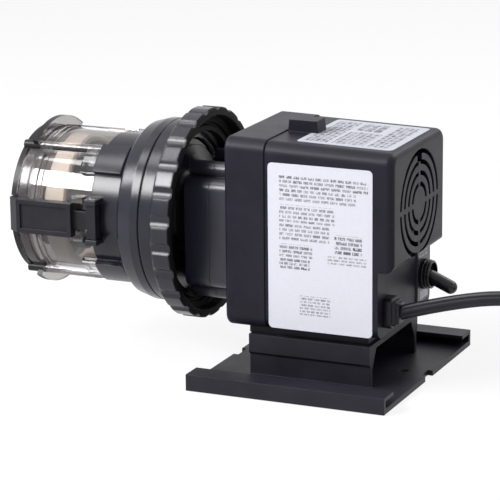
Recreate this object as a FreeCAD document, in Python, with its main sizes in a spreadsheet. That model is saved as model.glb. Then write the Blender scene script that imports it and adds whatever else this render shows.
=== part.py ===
import FreeCAD, Part

import math
import os
import re

import Sketcher

# A single-head peristaltic dosing pump on its mounting bracket.
# X runs along the pump shaft, from the clear pump head (-X) to the motor's grille (+X).
# The near, labelled side of the motor is -Y, and the bracket's underside is Z = 0.
# Sizes in millimetres, angles in degrees.

sizes = {
    # Mounting bracket
    "bracket_length": 117.0,
    "bracket_width": 141.0,
    "plate_thickness": 3.0,
    "rail_height": 9.3,
    "rail_wall": 2.5,
    "lip_width": 14.2,
    "lip_thickness": 2.0,
    "notch_width": 12.0,
    "notch_depth": 3.0,
    "bracket_hole": 5.5,
    "bracket_hole_spacing": 87.0,
    "pedestal_length": 72.0,
    "pedestal_shift": 1.5,
    "pedestal_width": 76.0,
    "pedestal_height": 26.5,
    "pedestal_band": 12.0,
    "band_step": 1.6,
    "pedestal_top": 3.0,
    "pedestal_wall": 3.0,
    "hollow_shoulder": 2.0,
    "hollow_slant": 6.0,
    "foot_screw_spacing_along": 49.0,
    "foot_screw_spacing_across": 39.6,
    "foot_screw_radius": 2.0,
    "foot_screw_clearance": 0.2,
    "foot_screw_head_radius": 3.6,
    "foot_screw_head_height": 2.5,
    "foot_screw_grip": 2.0,
    # Motor housing
    "housing_rear": 52.0,
    "housing_length": 99.0,
    "housing_width": 83.0,
    "housing_bottom": 31.5,
    "housing_top": 137.6,
    "top_fall": 2.2,
    "frame_length": 24.0,
    "frame_proud": 0.6,
    "corner_radius": 7.0,
    "front_edge_radius": 2.5,
    "rear_edge_radius": 4.0,
    "frame_wall": 3.0,
    "shell_wall": 2.5,
    "recess_depth": 8.5,
    "bulge_bottom": 70.0,
    "foot_side_inset": 7.5,
    "foot_front_inset": 11.5,
    "foot_rear_inset": 2.0,
    "bolt_post_wall": 3.0,
    "shaft_hole_gap": 2.0,
    "grille_radius": 30.2,
    "grille_pitch": 6.1,
    "grille_slot": 2.6,
    "grille_spoke": 2.6,
    "keyhole_size": 7.0,
    "top_block_length": 18.5,
    "top_block_width": 12.0,
    "top_block_height": 6.0,
    "top_block_side": 3.0,
    "top_block_setback": 0.4,
    "top_block_taper": 1.0,
    # Motor
    "motor_rise": 16.5,
    "stator_setback": 58.0,
    "stator_width": 60.0,
    "stator_height": 74.0,
    "stator_above": 25.0,
    "stator_stack": 25.0,
    "stator_gap": 36.0,
    "stator_window": 14.0,
    "coil_wrap": 8.0,
    "coil_gap": 1.0,
    "rotor_radius": 16.6,
    "rotor_overhang": 1.0,
    "air_gap": 0.4,
    "motor_shaft_radius": 2.5,
    "bearing_radius": 6.0,
    "bearing_length": 7.0,
    "strap_height": 16.0,
    "strap_leg": 8.0,
    "strap_thickness": 2.0,
    "strap_standoff": 12.0,
    "motor_bolt_radius": 2.0,
    "motor_bolt_spacing": 50.0,
    "motor_bolt_head_radius": 3.6,
    "motor_bolt_head_height": 3.0,
    "fan_radius": 26.0,
    "fan_hub_radius": 7.0,
    "fan_depth": 8.0,
    "fan_gap": 3.0,
    "fan_blade_root": 2.0,
    "fan_blade_thickness": 1.4,
    "fan_blade_chord": 9.2,
    "fan_blade_pitch": 55.0,
    # Gear case and gears
    "pump_axis_height": 84.0,
    "gear_case_length": 30.0,
    "gear_case_half_width": 30.0,
    "gear_case_top": 110.0,
    "gear_case_bottom": 47.0,
    "gear_case_wall": 2.5,
    "gear_case_corner": 7.0,
    "case_split": 15.0,
    "case_lug_radius": 5.0,
    "case_lug_side": 16.5,
    "case_lug_rise": 3.0,
    "case_screw_radius": 1.6,
    "case_screw_head_radius": 2.8,
    "case_screw_head_height": 2.0,
    "case_screw_gap": 1.0,
    "gear_face": 4.0,
    "gear_spacing": 1.0,
    "gear_collar_wall": 1.2,
    "fine_module": 0.8,
    "middle_module": 0.9,
    "coarse_module": 1.0,
    "middle_gear_offset": 12.0,
    "gear_pin_radius": 2.0,
    "gear_pin_seat": 1.5,
    "gear_pin_past": 0.6,
    "backlash": 0.12,
    # Feed-rate control
    "shaft_radius": 5.0,
    "shaft_chamfer": 0.8,
    "shaft_end_gap": 1.0,
    "bush_radius": 8.0,
    "running_clearance": 0.05,
    "ring_radius": 60.4,
    "ring_width": 12.0,
    "ring_overlap": 4.5,
    "ring_front_chamfer": 1.2,
    "ring_rear_chamfer": 0.8,
    "scallop_radius": 4.9,
    "scallop_depth": 1.6,
    "ring_rim": 4.6,
    "ring_rim_draft": 0.6,
    "ring_step_width": 3.4,
    "ring_step_height": 2.0,
    "ring_web": 3.2,
    "shoulder_radius": 49.5,
    "shoulder_wall": 3.0,
    "shoulder_length": 5.0,
    "feed_length": 25.5,
    "feed_radius": 52.6,
    "feed_nose_radius": 50.4,
    "feed_nose_length": 9.5,
    "feed_nose_chamfer": 1.5,
    "groove_size": 1.2,
    "groove_place": 10.0,
    "web_setback": 1.5,
    "web_thickness": 3.0,
    "hub_radius": 24.0,
    "hub_bore_gap": 1.0,
    "head_plate_radius": 43.5,
    "head_plate_thickness": 3.0,
    "head_plate_ledge": 1.5,
    "cam_inner": 34.0,
    "cam_outer": 41.0,
    "cam_thickness": 1.6,
    "cam_rise": 2.0,
    "cam_gap": 0.3,
    "finger_radius": 40.0,
    "finger_size": 3.0,
    "finger_width": 6.0,
    "finger_gap": 0.5,
    "cam_arm_width": 8.0,
    "cam_arm_thickness": 1.6,
    "cam_lug_depth": 2.6,
    "cam_lug_gap": 0.4,
    "dial_range": 170.0,
    "dial_slot_margin": 12.0,
    "index_radius": 30.0,
    "index_thickness": 3.0,
    "index_gap": 0.5,
    "index_hole_setback": 5.0,
    "index_pin_radius": 2.0,
    "index_pin_length": 9.0,
    "index_pin_setback": 1.0,
    "lifter_gap": 2.0,
    "lifter_thickness": 3.0,
    "lifter_radius": 22.0,
    "lifter_arm_width": 8.0,
    "lifter_arm_setback": 2.0,
    # Pump head
    "tube_housing_length": 20.5,
    "head_radius": 42.0,
    "head_wall": 3.0,
    "rib_radius": 46.0,
    "rib_sweep": 24.0,
    "rib_chamfer": 1.0,
    "rib_setback": 2.0,
    "cover_length": 50.0,
    "cover_step": 0.5,
    "end_disc_radius": 43.2,
    "end_disc_thickness": 3.4,
    "disc_recess_radius": 26.0,
    "disc_recess_depth": 1.4,
    "boss_length": 5.0,
    "boss_wall": 2.0,
    "boss_draft": 1.0,
    "tab_radius": 48.6,
    "tab_setback": 7.1,
    "tab_thickness": 3.5,
    "tab_root": 2.0,
    "tab_sweep": 70.0,
    "rod_radius": 2.6,
    "rod_rise": 1.4,
    "lug_length": 9.0,
    "lug_drop": 0.4,
    "guide_length": 7.5,
    "guide_setback": 3.0,
    "guide_thickness": 3.0,
    "guide_gap": 0.5,
    "guide_rise": 4.5,
    "roller_setback": 11.0,
    "roller_radius": 10.3,
    "roller_length": 26.0,
    "roller_gap": 0.3,
    "axle_radius": 2.5,
    "arm_thickness": 2.5,
    "arm_radius": 6.5,
    "spider_hub": 9.0,
    "tube_flat": 4.4,
    "tube_wide": 13.0,
    "tube_diameter": 9.5,
    "tube_bore": 4.8,
    "tube_slot_gap": 0.5,
    "track_clearance": 0.3,
    "port_height": 19.0,
    "port_bend": 12.0,
    "port_reach": 58.0,
    "fitting_radius": 7.2,
    "fitting_length": 12.0,
    "fitting_flange": 3.0,
    "fitting_floor": 1.0,
    "fitting_bore": 3.2,
    "nut_wall": 2.0,
    "nut_length": 8.0,
    # Latches
    "latch_height": 19.4,
    "latch_thickness": 6.0,
    "latch_gap": 0.8,
    "latch_setback": 0.2,
    "latch_hook": 2.1,
    "latch_hook_grip": 4.4,
    "latch_hook_gap": 0.3,
    "latch_pocket_gap": 0.5,
    "latch_bevel_length": 6.3,
    "latch_bevel_depth": 4.6,
    "latch_block_setback": 8.7,
    "latch_arm_height": 10.0,
    "latch_arm_thickness": 2.8,
    "latch_knuckle": 3.0,
    "latch_knuckle_drop": 0.4,
    "latch_relief": 0.8,
    "latch_relief_length": 2.0,
    "latch_tail": 2.8,
    "latch_pin_radius": 1.5,
    "latch_pin_setback": 4.0,
    "latch_panel_depth": 1.0,
    "latch_panel_margin": 2.6,
    "latch_panel_start": 8.6,
    "latch_panel_end": 2.6,
    "ear_thickness": 3.0,
    "ear_length": 7.0,
    "ear_setback": 0.5,
    "ear_gap": 0.3,
    "ear_past_pin": 3.5,
    # Rear panel
    "switch_side": 28.0,
    "switch_height": 52.5,
    "switch_body_depth": 16.0,
    "switch_body_width": 13.0,
    "switch_body_height": 16.0,
    "switch_stem": 5.9,
    "legend_width": 18.0,
    "legend_height": 31.0,
    "legend_thickness": 1.0,
    "boot_radius": 8.6,
    "boot_depth": 4.5,
    "boot_shoulder": 1.6,
    "boot_slant": 2.0,
    "boot_mouth": 6.5,
    "boot_mouth_depth": 1.5,
    "lever_radius": 3.9,
    "lever_ball": 4.2,
    "lever_seat": 1.5,
    "lever_length": 20.0,
    "lever_droop": 23.0,
    "relief_side": 27.5,
    "relief_height": 45.0,
    "relief_width": 13.0,
    "relief_tall": 17.0,
    "relief_depth": 8.0,
    "relief_flange": 2.0,
    "relief_neck_past": 1.5,
    # Power cord
    "cord_diameter": 8.0,
    "coil_inner": 39.0,
    "coil_outer": 57.0,
    "coil_height": 25.0,
    "coil_chamfer": 5.0,
    "plug_length": 36.0,
    "plug_width": 26.0,
    "plug_height": 20.0,
    "plug_edge_radius": 4.0,
    "blade_length": 17.0,
    "blade_thickness": 1.5,
    "blade_width": 6.4,
    "blade_spacing": 12.7,
    "blade_drop": 1.0,
    "ground_pin_radius": 2.4,
    "ground_pin_extra": 3.0,
    "ground_pin_drop": 5.0,
}

grille_rings = 4
fan_blades = 5
scallop_count = 24
index_holes = 12
roller_count = 3
fine_pinion_teeth = 10
first_gear_teeth = 45
middle_pinion_teeth = 10
second_gear_teeth = 30
coarse_pinion_teeth = 11
output_gear_teeth = 33
pressure_angle = math.radians(20)
addendum = 0.95
dedendum = 1.2
rib_angles = (48, 132, 228, 312)
rod_angles = (57, 123, 237, 303)

# How far a cutter runs past the faces that it opens
past = 1.0

# The cord's route from the strain relief to its coil, and from the coil to the plug
cord_points = [(51.5, -27.5, 45.0), (74.0, -27.5, 52.3), (108.0, -28.0, 60.0), (125.5, -27.6, 58.6),
               (142.0, -27.3, 50.6), (154.5, -27.8, 37.3), (168.0, -29.6, 26.6), (184.5, -33.4, 21.6)]
tail_points = [(247.5, 49.8, 4.6), (236.2, 70.0, 6.8), (223.6, 81.6, 9.0), (206.6, 87.0, 10.0), (188.0, 87.0, 10.0)]
coil_centre = (205.0, 14.0)
arc_share = 0.45

doc = FreeCAD.newDocument("dosing_pump")
sheet = doc.addObject("Spreadsheet::Sheet", "Dimensions")
for row, (size_name, size) in enumerate(sizes.items(), start=1):
    sheet.set(f"A{row}", size_name)
    sheet.set(f"B{row}", str(size))
    sheet.setAlias(f"B{row}", size_name)
doc.recompute()

pieces = {}


def tied(expression):
    """The expression with each size read from the spreadsheet."""
    def linked(match):
        word = match.group(0)
        return f"Dimensions.{word}" if word in sizes else word
    return re.sub(r"[a-z_]+", linked, str(expression))


def value(expression):
    """The number that an expression of sizes gives."""
    return float(sheet.evalExpression(tied(expression)))


def bind(item, prop, expression):
    item.setExpression(prop, tied(expression))


def seat(item, place, turn=None):
    """Put an item's own origin at a place, turned as (axis, degrees)."""
    if turn:
        item.Placement = FreeCAD.Placement(FreeCAD.Vector(), FreeCAD.Rotation(FreeCAD.Vector(*turn[0]), turn[1]))
    for axis, expression in zip("xyz", place):
        bind(item, f"Placement.Base.{axis}", expression)


def keep(label, item):
    """Name an item as one of the pump's pieces."""
    item.Label = label
    pieces[label] = item
    return item


def block(corner, size):
    item = doc.addObject("Part::Box", "Block")
    for prop, expression in zip(("Length", "Width", "Height"), size):
        bind(item, prop, expression)
    seat(item, corner)
    return item


along = {"x": ((0, 1, 0), 90), "y": ((1, 0, 0), -90), "z": None}


def rod(direction, start, radius, length):
    item = doc.addObject("Part::Cylinder", "Rod")
    bind(item, "Radius", radius)
    bind(item, "Height", length)
    seat(item, start, along[direction])
    return item


def drill(direction, start, radius, length):
    """A round cutter that runs past both ends of the length that it goes through."""
    place = list(start)
    index = "xyz".index(direction)
    place[index] = f"{start[index]} - {past}"
    return rod(direction, place, radius, f"{length} + {2 * past}")


def cut(base, *tools):
    item = doc.addObject("Part::Cut", "Cut")
    item.Base = base
    item.Tool = tools[0] if len(tools) == 1 else fuse(*tools)
    return item


def fuse(*items):
    item = doc.addObject("Part::MultiFuse", "Fuse")
    item.Shapes = list(items)
    return item


def group(*items):
    """Separate solids that share one node."""
    item = doc.addObject("Part::Compound", "Group")
    item.Links = list(items)
    return item


def origin_part(body, role):
    return next(item for item in body.Origin.OriginFeatures if item.Role == role)


def outline(body, plane, points):
    """A closed sketch of straight lines through points given as pairs of expressions."""
    sketch = body.newObject("Sketcher::SketchObject", "Outline")
    sketch.AttachmentSupport = [(origin_part(body, plane), "")]
    sketch.MapMode = "FlatFace"
    corners = [FreeCAD.Vector(value(across), value(up), 0) for across, up in points]
    count = len(corners)
    for index in range(count):
        sketch.addGeometry(Part.LineSegment(corners[index], corners[(index + 1) % count]))
    for index in range(count):
        sketch.addConstraint(Sketcher.Constraint("Coincident", index, 2, (index + 1) % count, 1))
    for index, (across, up) in enumerate(points):
        for kind, expression, size in (("DistanceX", across, corners[index].x), ("DistanceY", up, corners[index].y)):
            place = sketch.addConstraint(Sketcher.Constraint(kind, -1, 1, index, 1, size))
            bind(sketch, f"Constraints[{place}]", expression)
    return sketch


def turned(profile, centre, start=0.0, sweep=360.0):
    """A body turned about a line along X; the profile holds (x, radius) pairs, and 0 degrees is +Z."""
    body = doc.addObject("PartDesign::Body", "Turned")
    sketch = outline(body, "XZ_Plane", profile)
    turn = body.newObject("PartDesign::Revolution", "Turn")
    turn.Profile = sketch
    turn.ReferenceAxis = (sketch, ["H_Axis"])
    turn.Angle = sweep
    body.Placement = FreeCAD.Placement(FreeCAD.Vector(), FreeCAD.Rotation(FreeCAD.Vector(1, 0, 0), start))
    seat(body, (0, *centre))
    return body


def drawn(plane, points, length, place=(0, 0, 0), middle=False):
    """A body padded from an outline, on both sides of its plane when middle is set."""
    body = doc.addObject("PartDesign::Body", "Drawn")
    sketch = outline(body, plane, points)
    pad = body.newObject("PartDesign::Pad", "Pad")
    pad.Profile = sketch
    bind(pad, "Length", length)
    if middle:
        pad.SideType = "Symmetric"
    seat(body, place)
    return body


def shaped(label, shape):
    """A piece whose form comes from a formula."""
    item = doc.addObject("Part::Feature", "Formed")
    item.Shape = shape
    return keep(label, item) if label else item


def edges_where(item, test):
    """Names of the edges whose middle point and direction pass a test."""
    doc.recompute()
    chosen = []
    for index, edge in enumerate(item.Shape.Edges, start=1):
        middle = edge.valueAt((edge.FirstParameter + edge.LastParameter) / 2)
        direction = edge.tangentAt((edge.FirstParameter + edge.LastParameter) / 2)
        if test(middle, direction):
            chosen.append(f"Edge{index}")
    return chosen


def rounded(body, radius, test):
    """Round the chosen edges of a PartDesign body."""
    tip = body.Tip
    chosen = edges_where(tip, test)
    fillet = body.newObject("PartDesign::Fillet", "Round")
    fillet.Base = (tip, chosen)
    bind(fillet, "Radius", radius)
    return body


def is_lengthwise(middle, direction):
    return abs(direction.x) > 0.95


def ring_place(start, radius, angle):
    """A place at an angle from +Y on a circle round the pump's axis."""
    return (start, f"{radius} * cos({angle})", f"pump_axis_height + {radius} * sin({angle})")


# Stations along the pump axis, as expressions of the sizes
housing_front = "(housing_rear - housing_length)"
seam = f"({housing_front} + frame_length)"
case_front = f"({housing_front} - gear_case_length)"
case_middle = f"({housing_front} - case_split)"
ring_rear = f"({case_front} + ring_overlap)"
ring_front = f"({ring_rear} - ring_width)"
ring_step = f"({ring_front} + ring_web + ring_step_height)"
feed_rear = ring_front
feed_front = f"({feed_rear} - feed_length)"
feed_web_rear = f"({feed_rear} - web_setback)"
feed_web_front = f"({feed_web_rear} - web_thickness)"
plate_rear = f"({feed_front} + head_plate_thickness)"
tube_housing_front = f"({feed_front} - tube_housing_length)"
cover_front = f"({tube_housing_front} - cover_length)"
disc_rear = f"({cover_front} + end_disc_thickness)"
track_middle = f"({tube_housing_front} - roller_setback - roller_length / 2)"
stator_front = "(housing_rear - stator_setback)"
stator_rear = f"({stator_front} + stator_stack)"
strap_front = f"({stator_front} - strap_standoff - strap_thickness)"
strap_rear = f"({stator_rear} + strap_standoff)"
fan_start = "(housing_rear - shell_wall - fan_gap - fan_depth)"
pinion_plane = f"({housing_front} - gear_case_wall - gear_spacing - gear_face)"
middle_plane = f"({pinion_plane} - gear_spacing - gear_face)"
output_plane = f"({middle_plane} - gear_spacing - gear_face)"

# Places across the pump
motor_height = "(pump_axis_height + motor_rise)"
pump_axis = (0, "pump_axis_height")
motor_axis = (0, motor_height)
lower_panel = "(housing_rear - recess_depth)"
latch_inner = "(head_radius + latch_gap)"
latch_outer = f"({latch_inner} + latch_thickness)"
latch_pin_side = f"({latch_inner} + latch_thickness / 2)"
latch_pin_place = f"({tube_housing_front} + latch_pin_setback)"
foot_screw_places = [(f"pedestal_shift + {lengthwise} * foot_screw_spacing_along / 2",
                      f"{across} * foot_screw_spacing_across / 2")
                     for lengthwise in (-1, 1) for across in (-1, 1)]
lug_places = [(f"{across} * case_lug_side", height) for across in (-1, 1)
              for height in ("gear_case_top + case_lug_rise", "gear_case_bottom - case_lug_rise")]
motor_bolt_places = [(f"{side} * motor_bolt_spacing / 2", motor_height) for side in (-1, 1)]


def make_bracket():
    """One moulding: plate, two inward C rails and the hollow pedestal."""
    edge = "bracket_width / 2"
    plate = block(("0 - bracket_length / 2", f"0 - {edge}", 0), ("bracket_length", "bracket_width", "plate_thickness"))
    rails = []
    for side in (-1, 1):
        rails.append(drawn("YZ_Plane", [
            (f"{side} * {edge}", "plate_thickness / 2"),
            (f"{side} * {edge}", "rail_height"),
            (f"{side} * ({edge} - lip_width)", "rail_height"),
            (f"{side} * ({edge} - lip_width)", "rail_height - lip_thickness"),
            (f"{side} * ({edge} - rail_wall)", "rail_height - lip_thickness"),
            (f"{side} * ({edge} - rail_wall)", "plate_thickness / 2"),
        ], "bracket_length", ("0 - bracket_length / 2", 0, 0)))
    half = "pedestal_width / 2"
    start = "pedestal_shift - pedestal_length / 2"
    band_foot = "pedestal_height - pedestal_band"
    outer = drawn("YZ_Plane", [
        (f"band_step - {half}", "plate_thickness / 2"),
        (f"band_step - {half}", band_foot),
        (f"0 - {half}", f"{band_foot} + band_step"),
        (f"0 - {half}", "pedestal_height"),
        (half, "pedestal_height"),
        (half, f"{band_foot} + band_step"),
        (f"{half} - band_step", band_foot),
        (f"{half} - band_step", "plate_thickness / 2"),
    ], "pedestal_length", (start, 0, 0))
    inner_foot = f"({half} - band_step - pedestal_wall)"
    inner_top = f"({inner_foot} - hollow_slant)"
    hollow = drawn("YZ_Plane", [
        (f"0 - {inner_foot}", "plate_thickness"),
        (f"0 - {inner_foot}", f"{band_foot} - hollow_shoulder"),
        (f"0 - {inner_top}", "pedestal_height - pedestal_top"),
        (inner_top, "pedestal_height - pedestal_top"),
        (inner_foot, f"{band_foot} - hollow_shoulder"),
        (inner_foot, "plate_thickness"),
    ], f"pedestal_length + {2 * past}", (f"{start} - {past}", 0, 0))
    openings = []
    for side in (-1, 1):
        notch_start = "bracket_length / 2 - notch_depth" if side > 0 else f"0 - bracket_length / 2 - {past}"
        openings.append(block((notch_start, "0 - notch_width / 2", -past),
                              (f"notch_depth + {past}", "notch_width", f"plate_thickness + {2 * past}")))
        openings.append(drill("z", (f"{side} * bracket_hole_spacing / 2", 0, 0), "bracket_hole / 2",
                              "plate_thickness"))
    for place in foot_screw_places:
        openings.append(drill("z", (*place, "pedestal_height - pedestal_top"),
                              "foot_screw_radius + foot_screw_clearance", "pedestal_top"))
    keep("mounting_bracket", cut(fuse(plate, *rails, cut(outer, hollow)), *openings))


def make_bracket_screws():
    """Four screws from inside the pedestal up into the housing's foot."""
    head_top = "(pedestal_height - pedestal_top)"
    screws = []
    for place in foot_screw_places:
        head = rod("z", (*place, f"{head_top} - foot_screw_head_height"), "foot_screw_head_radius",
                   "foot_screw_head_height")
        shank = rod("z", (*place, f"{head_top} - foot_screw_head_height / 2"), "foot_screw_radius",
                    f"housing_bottom + foot_screw_grip - {head_top} + foot_screw_head_height / 2")
        screws.append(fuse(head, shank))
    keep("bracket_screws", group(*screws))


def foot_screw_holes():
    return [drill("z", (*place, "pedestal_height"), "foot_screw_radius",
                  "housing_bottom - pedestal_height + frame_wall") for place in foot_screw_places]


def side_view(start, end, inset, rear_step):
    """Side outline of the housing from one X to another, with its sloping top and rear recess."""
    slope = "top_fall / housing_length"
    top_start = f"housing_top - {inset} - ({start} - {housing_front}) * {slope}"
    top_end = f"housing_top - {inset} - ({end} - {housing_front}) * {slope}"
    bottom = f"housing_bottom + {inset}"
    if not rear_step:
        return [(start, bottom), (end, bottom), (end, top_end), (start, top_start)]
    step = f"{end} - recess_depth"
    shelf = f"bulge_bottom + {inset}"
    return [(start, bottom), (step, bottom), (step, shelf), (end, shelf), (end, top_end), (start, top_start)]


def make_front_frame():
    """Front of the motor housing, with its bolt posts and the foot that sits on the pedestal."""
    outer = drawn("XZ_Plane", side_view(housing_front, seam, "(0 - frame_proud)", False),
                  "housing_width + 2 * frame_proud", middle=True)
    rounded(outer, "corner_radius", is_lengthwise)
    front = value(housing_front)
    rounded(outer, "front_edge_radius", lambda middle, direction: abs(middle.x - front) < 0.01)
    inner = drawn("XZ_Plane", side_view(f"{housing_front} + frame_wall", f"{seam} + {past}", "frame_wall", False),
                  "housing_width - 2 * frame_wall", middle=True)
    rounded(inner, "corner_radius - frame_wall", is_lengthwise)
    posts = [rod("x", (f"{housing_front} + frame_wall / 2", *place), "motor_bolt_radius + bolt_post_wall",
                 f"{strap_front} - {housing_front} - frame_wall / 2") for place in motor_bolt_places]
    bolt_holes = [rod("x", (f"{housing_front} + frame_wall", *place), "motor_bolt_radius + running_clearance",
                      f"{strap_front} - {housing_front}") for place in motor_bolt_places]
    shaft_hole = drill("x", (housing_front, *motor_axis), "motor_shaft_radius + shaft_hole_gap", "frame_wall")
    foot = block((f"{housing_front} + foot_front_inset", "foot_side_inset - housing_width / 2", "pedestal_height"),
                 ("frame_length - foot_front_inset", "housing_width - 2 * foot_side_inset",
                  "housing_bottom - pedestal_height + frame_wall / 2"))
    keep("front_frame", cut(fuse(cut(outer, inner), foot, *posts), shaft_hole, *bolt_holes, *foot_screw_holes()))


def grille_cutters():
    """Rings of arc slots, split by four spokes, and the square keyhole above them."""
    start = "housing_rear - shell_wall"
    rings = []
    for index in range(grille_rings):
        radius = f"grille_radius - {index} * grille_pitch"
        rings.append(cut(drill("x", (start, *motor_axis), radius, "shell_wall"),
                         drill("x", (start, *motor_axis), f"{radius} - grille_slot", "shell_wall")))
    depth = f"shell_wall + {4 * past}"
    span = f"2 * grille_radius + {2 * past}"
    upright = block((f"{start} - {2 * past}", "0 - grille_spoke / 2", f"{motor_height} - grille_radius - {past}"),
                    (depth, "grille_spoke", span))
    level = block((f"{start} - {2 * past}", f"0 - grille_radius - {past}", f"{motor_height} - grille_spoke / 2"),
                  (depth, span, "grille_spoke"))
    keyhole = block((f"{start} - {2 * past}", "0 - keyhole_size / 2",
                     f"{motor_height} + grille_radius - keyhole_size"), (depth, "keyhole_size", "keyhole_size"))
    return [cut(fuse(*rings), upright, level), keyhole]


def make_motor_shell():
    """Rear of the motor housing: rounded shell, upper bulge with the grille, recessed lower panel."""
    shelf = value("bulge_bottom")
    wall = value("shell_wall")
    rear = value("housing_rear")
    outer = drawn("XZ_Plane", side_view(seam, "housing_rear", "0", True), "housing_width", middle=True)
    rounded(outer, "corner_radius", lambda middle, direction: is_lengthwise(middle, direction)
            and abs(middle.z - shelf) > wall / 2)
    rounded(outer, "rear_edge_radius", lambda middle, direction: middle.x > rear - 0.01)
    inner = drawn("XZ_Plane", side_view(f"{seam} - {past}", "housing_rear - shell_wall", "shell_wall", True),
                  "housing_width - 2 * shell_wall", middle=True)
    rounded(inner, "corner_radius - shell_wall", lambda middle, direction: is_lengthwise(middle, direction)
            and abs(middle.z - shelf - wall) > wall / 2)
    block_start = f"({seam} + top_block_setback)"
    block_end = f"({block_start} + top_block_length)"
    block_foot = "housing_top - top_fall - shell_wall / 4"
    top_block = drawn("XZ_Plane", [
        (block_start, block_foot),
        (block_end, block_foot),
        (f"{block_end} - top_block_taper", "housing_top + top_block_height"),
        (f"{block_start} + top_block_taper", "housing_top + top_block_height"),
    ], "top_block_width", (0, "0 - top_block_side", 0), middle=True)
    foot = block((seam, "foot_side_inset - housing_width / 2", "pedestal_height"),
                 (f"pedestal_shift + pedestal_length / 2 - foot_rear_inset - {seam}",
                  "housing_width - 2 * foot_side_inset", "housing_bottom - pedestal_height + shell_wall / 2"))
    panel_inside = f"{lower_panel} - shell_wall"
    openings = grille_cutters()
    openings.append(drill("x", (panel_inside, "switch_side", "switch_height"), "switch_stem + running_clearance",
                          "shell_wall"))
    openings.append(block((f"{panel_inside} - {past}", "relief_flange - relief_side - relief_width / 2",
                           "relief_flange + relief_height - relief_tall / 2"),
                          (f"shell_wall + {2 * past}", "relief_width - 2 * relief_flange",
                           "relief_tall - 2 * relief_flange")))
    keep("motor_shell", cut(fuse(cut(outer, inner), top_block, foot), *openings, *foot_screw_holes()))


def make_stator():
    """Laminated stack with a bore for the rotor and a window for the coil, and the wound coil."""
    bottom = f"({motor_height} + stator_above - stator_height)"
    stack = block((stator_front, "0 - stator_width / 2", bottom), ("stator_stack", "stator_width", "stator_height"))
    bore = drill("x", (stator_front, *motor_axis), "rotor_radius + air_gap", "stator_stack")
    window = block((f"{stator_front} - {past}", "0 - stator_gap / 2", f"{bottom} + stator_window"),
                   (f"stator_stack + {2 * past}", "stator_gap", "stator_window"))
    bolt_holes = [drill("x", (stator_front, *place), "motor_bolt_radius + running_clearance", "stator_stack")
                  for place in motor_bolt_places]
    keep("stator_laminations", cut(stack, bore, window, *bolt_holes))
    wound = block((f"{stator_front} - coil_wrap", "coil_gap - stator_gap / 2", f"{bottom} - coil_wrap + coil_gap"),
                  ("stator_stack + 2 * coil_wrap", "stator_gap - 2 * coil_gap",
                   "stator_window + 2 * coil_wrap - 2 * coil_gap"))
    leg = block((stator_front, f"0 - stator_gap / 2 - {past}", bottom),
                ("stator_stack", f"stator_gap + {2 * past}", "stator_window"))
    keep("motor_coil", cut(wound, leg))


def make_bearing_strap(label, web_start, leg_start):
    """A bent strap that carries one shaft bearing across the stator's face."""
    low = f"{motor_height} - strap_height / 2"
    web = block((web_start, "0 - motor_bolt_spacing / 2 - strap_leg / 2", low),
                ("strap_thickness", "motor_bolt_spacing + strap_leg", "strap_height"))
    legs = [block((leg_start, f"{side} * motor_bolt_spacing / 2 - strap_leg / 2", low),
                  ("strap_standoff", "strap_leg", "strap_height")) for side in (-1, 1)]
    seat_hole = drill("x", (web_start, *motor_axis), "bearing_radius", "strap_thickness")
    bolt_holes = [drill("x", (f"{web_start} - strap_standoff", *place), "motor_bolt_radius + running_clearance",
                        "2 * strap_standoff + strap_thickness") for place in motor_bolt_places]
    keep(label, cut(fuse(web, *legs), seat_hole, *bolt_holes))


def make_bearing(label, web_start):
    start = f"{web_start} + strap_thickness / 2 - bearing_length / 2"
    keep(label, cut(rod("x", (start, *motor_axis), "bearing_radius", "bearing_length"),
                    drill("x", (start, *motor_axis), "motor_shaft_radius + running_clearance", "bearing_length")))


def make_motor():
    """Stator, bearings in their straps, through bolts, rotor, shaft and fan."""
    make_stator()
    make_bearing_strap("front_bearing_strap", strap_front, f"{strap_front} + strap_thickness")
    make_bearing_strap("rear_bearing_strap", strap_rear, stator_rear)
    make_bearing("front_motor_bearing", strap_front)
    make_bearing("rear_motor_bearing", strap_rear)
    bolts = []
    for place in motor_bolt_places:
        shank = rod("x", (f"{housing_front} + frame_wall", *place), "motor_bolt_radius",
                    f"{strap_rear} + strap_thickness - {housing_front} - frame_wall")
        head = rod("x", (f"{strap_rear} + strap_thickness", *place), "motor_bolt_head_radius",
                   "motor_bolt_head_height")
        bolts.append(fuse(shank, head))
    keep("motor_bolts", group(*bolts))
    rotor_start = f"{stator_front} - rotor_overhang"
    rotor_length = "stator_stack + 2 * rotor_overhang"
    keep("rotor", cut(rod("x", (rotor_start, *motor_axis), "rotor_radius", rotor_length),
                      drill("x", (rotor_start, *motor_axis), "motor_shaft_radius", rotor_length)))
    keep("motor_shaft", rod("x", (pinion_plane, *motor_axis), "motor_shaft_radius",
                            f"{fan_start} + fan_depth - {pinion_plane}"))
    make_fan()


def make_fan():
    """Cooling fan: a hub with pitched blades."""
    hub = rod("x", (fan_start, *motor_axis), "fan_hub_radius", "fan_depth")
    thickness = value("fan_blade_thickness")
    chord = value("fan_blade_chord")
    root = value("fan_hub_radius - fan_blade_root")
    blades = []
    for index in range(fan_blades):
        blade = Part.makeBox(thickness, value("fan_radius") - root, chord)
        blade.translate(FreeCAD.Vector(-thickness / 2, root, -chord / 2))
        blade.rotate(FreeCAD.Vector(), FreeCAD.Vector(0, 1, 0), value("fan_blade_pitch"))
        blade.rotate(FreeCAD.Vector(), FreeCAD.Vector(1, 0, 0), index * 360 / fan_blades)
        blade.translate(FreeCAD.Vector(value(f"{fan_start} + fan_depth / 2"), 0, value(motor_height)))
        blades.append(shaped(None, blade))
    bore = drill("x", (fan_start, *motor_axis), "motor_shaft_radius", "fan_depth")
    keep("cooling_fan", cut(fuse(hub, *blades), bore))


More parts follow.
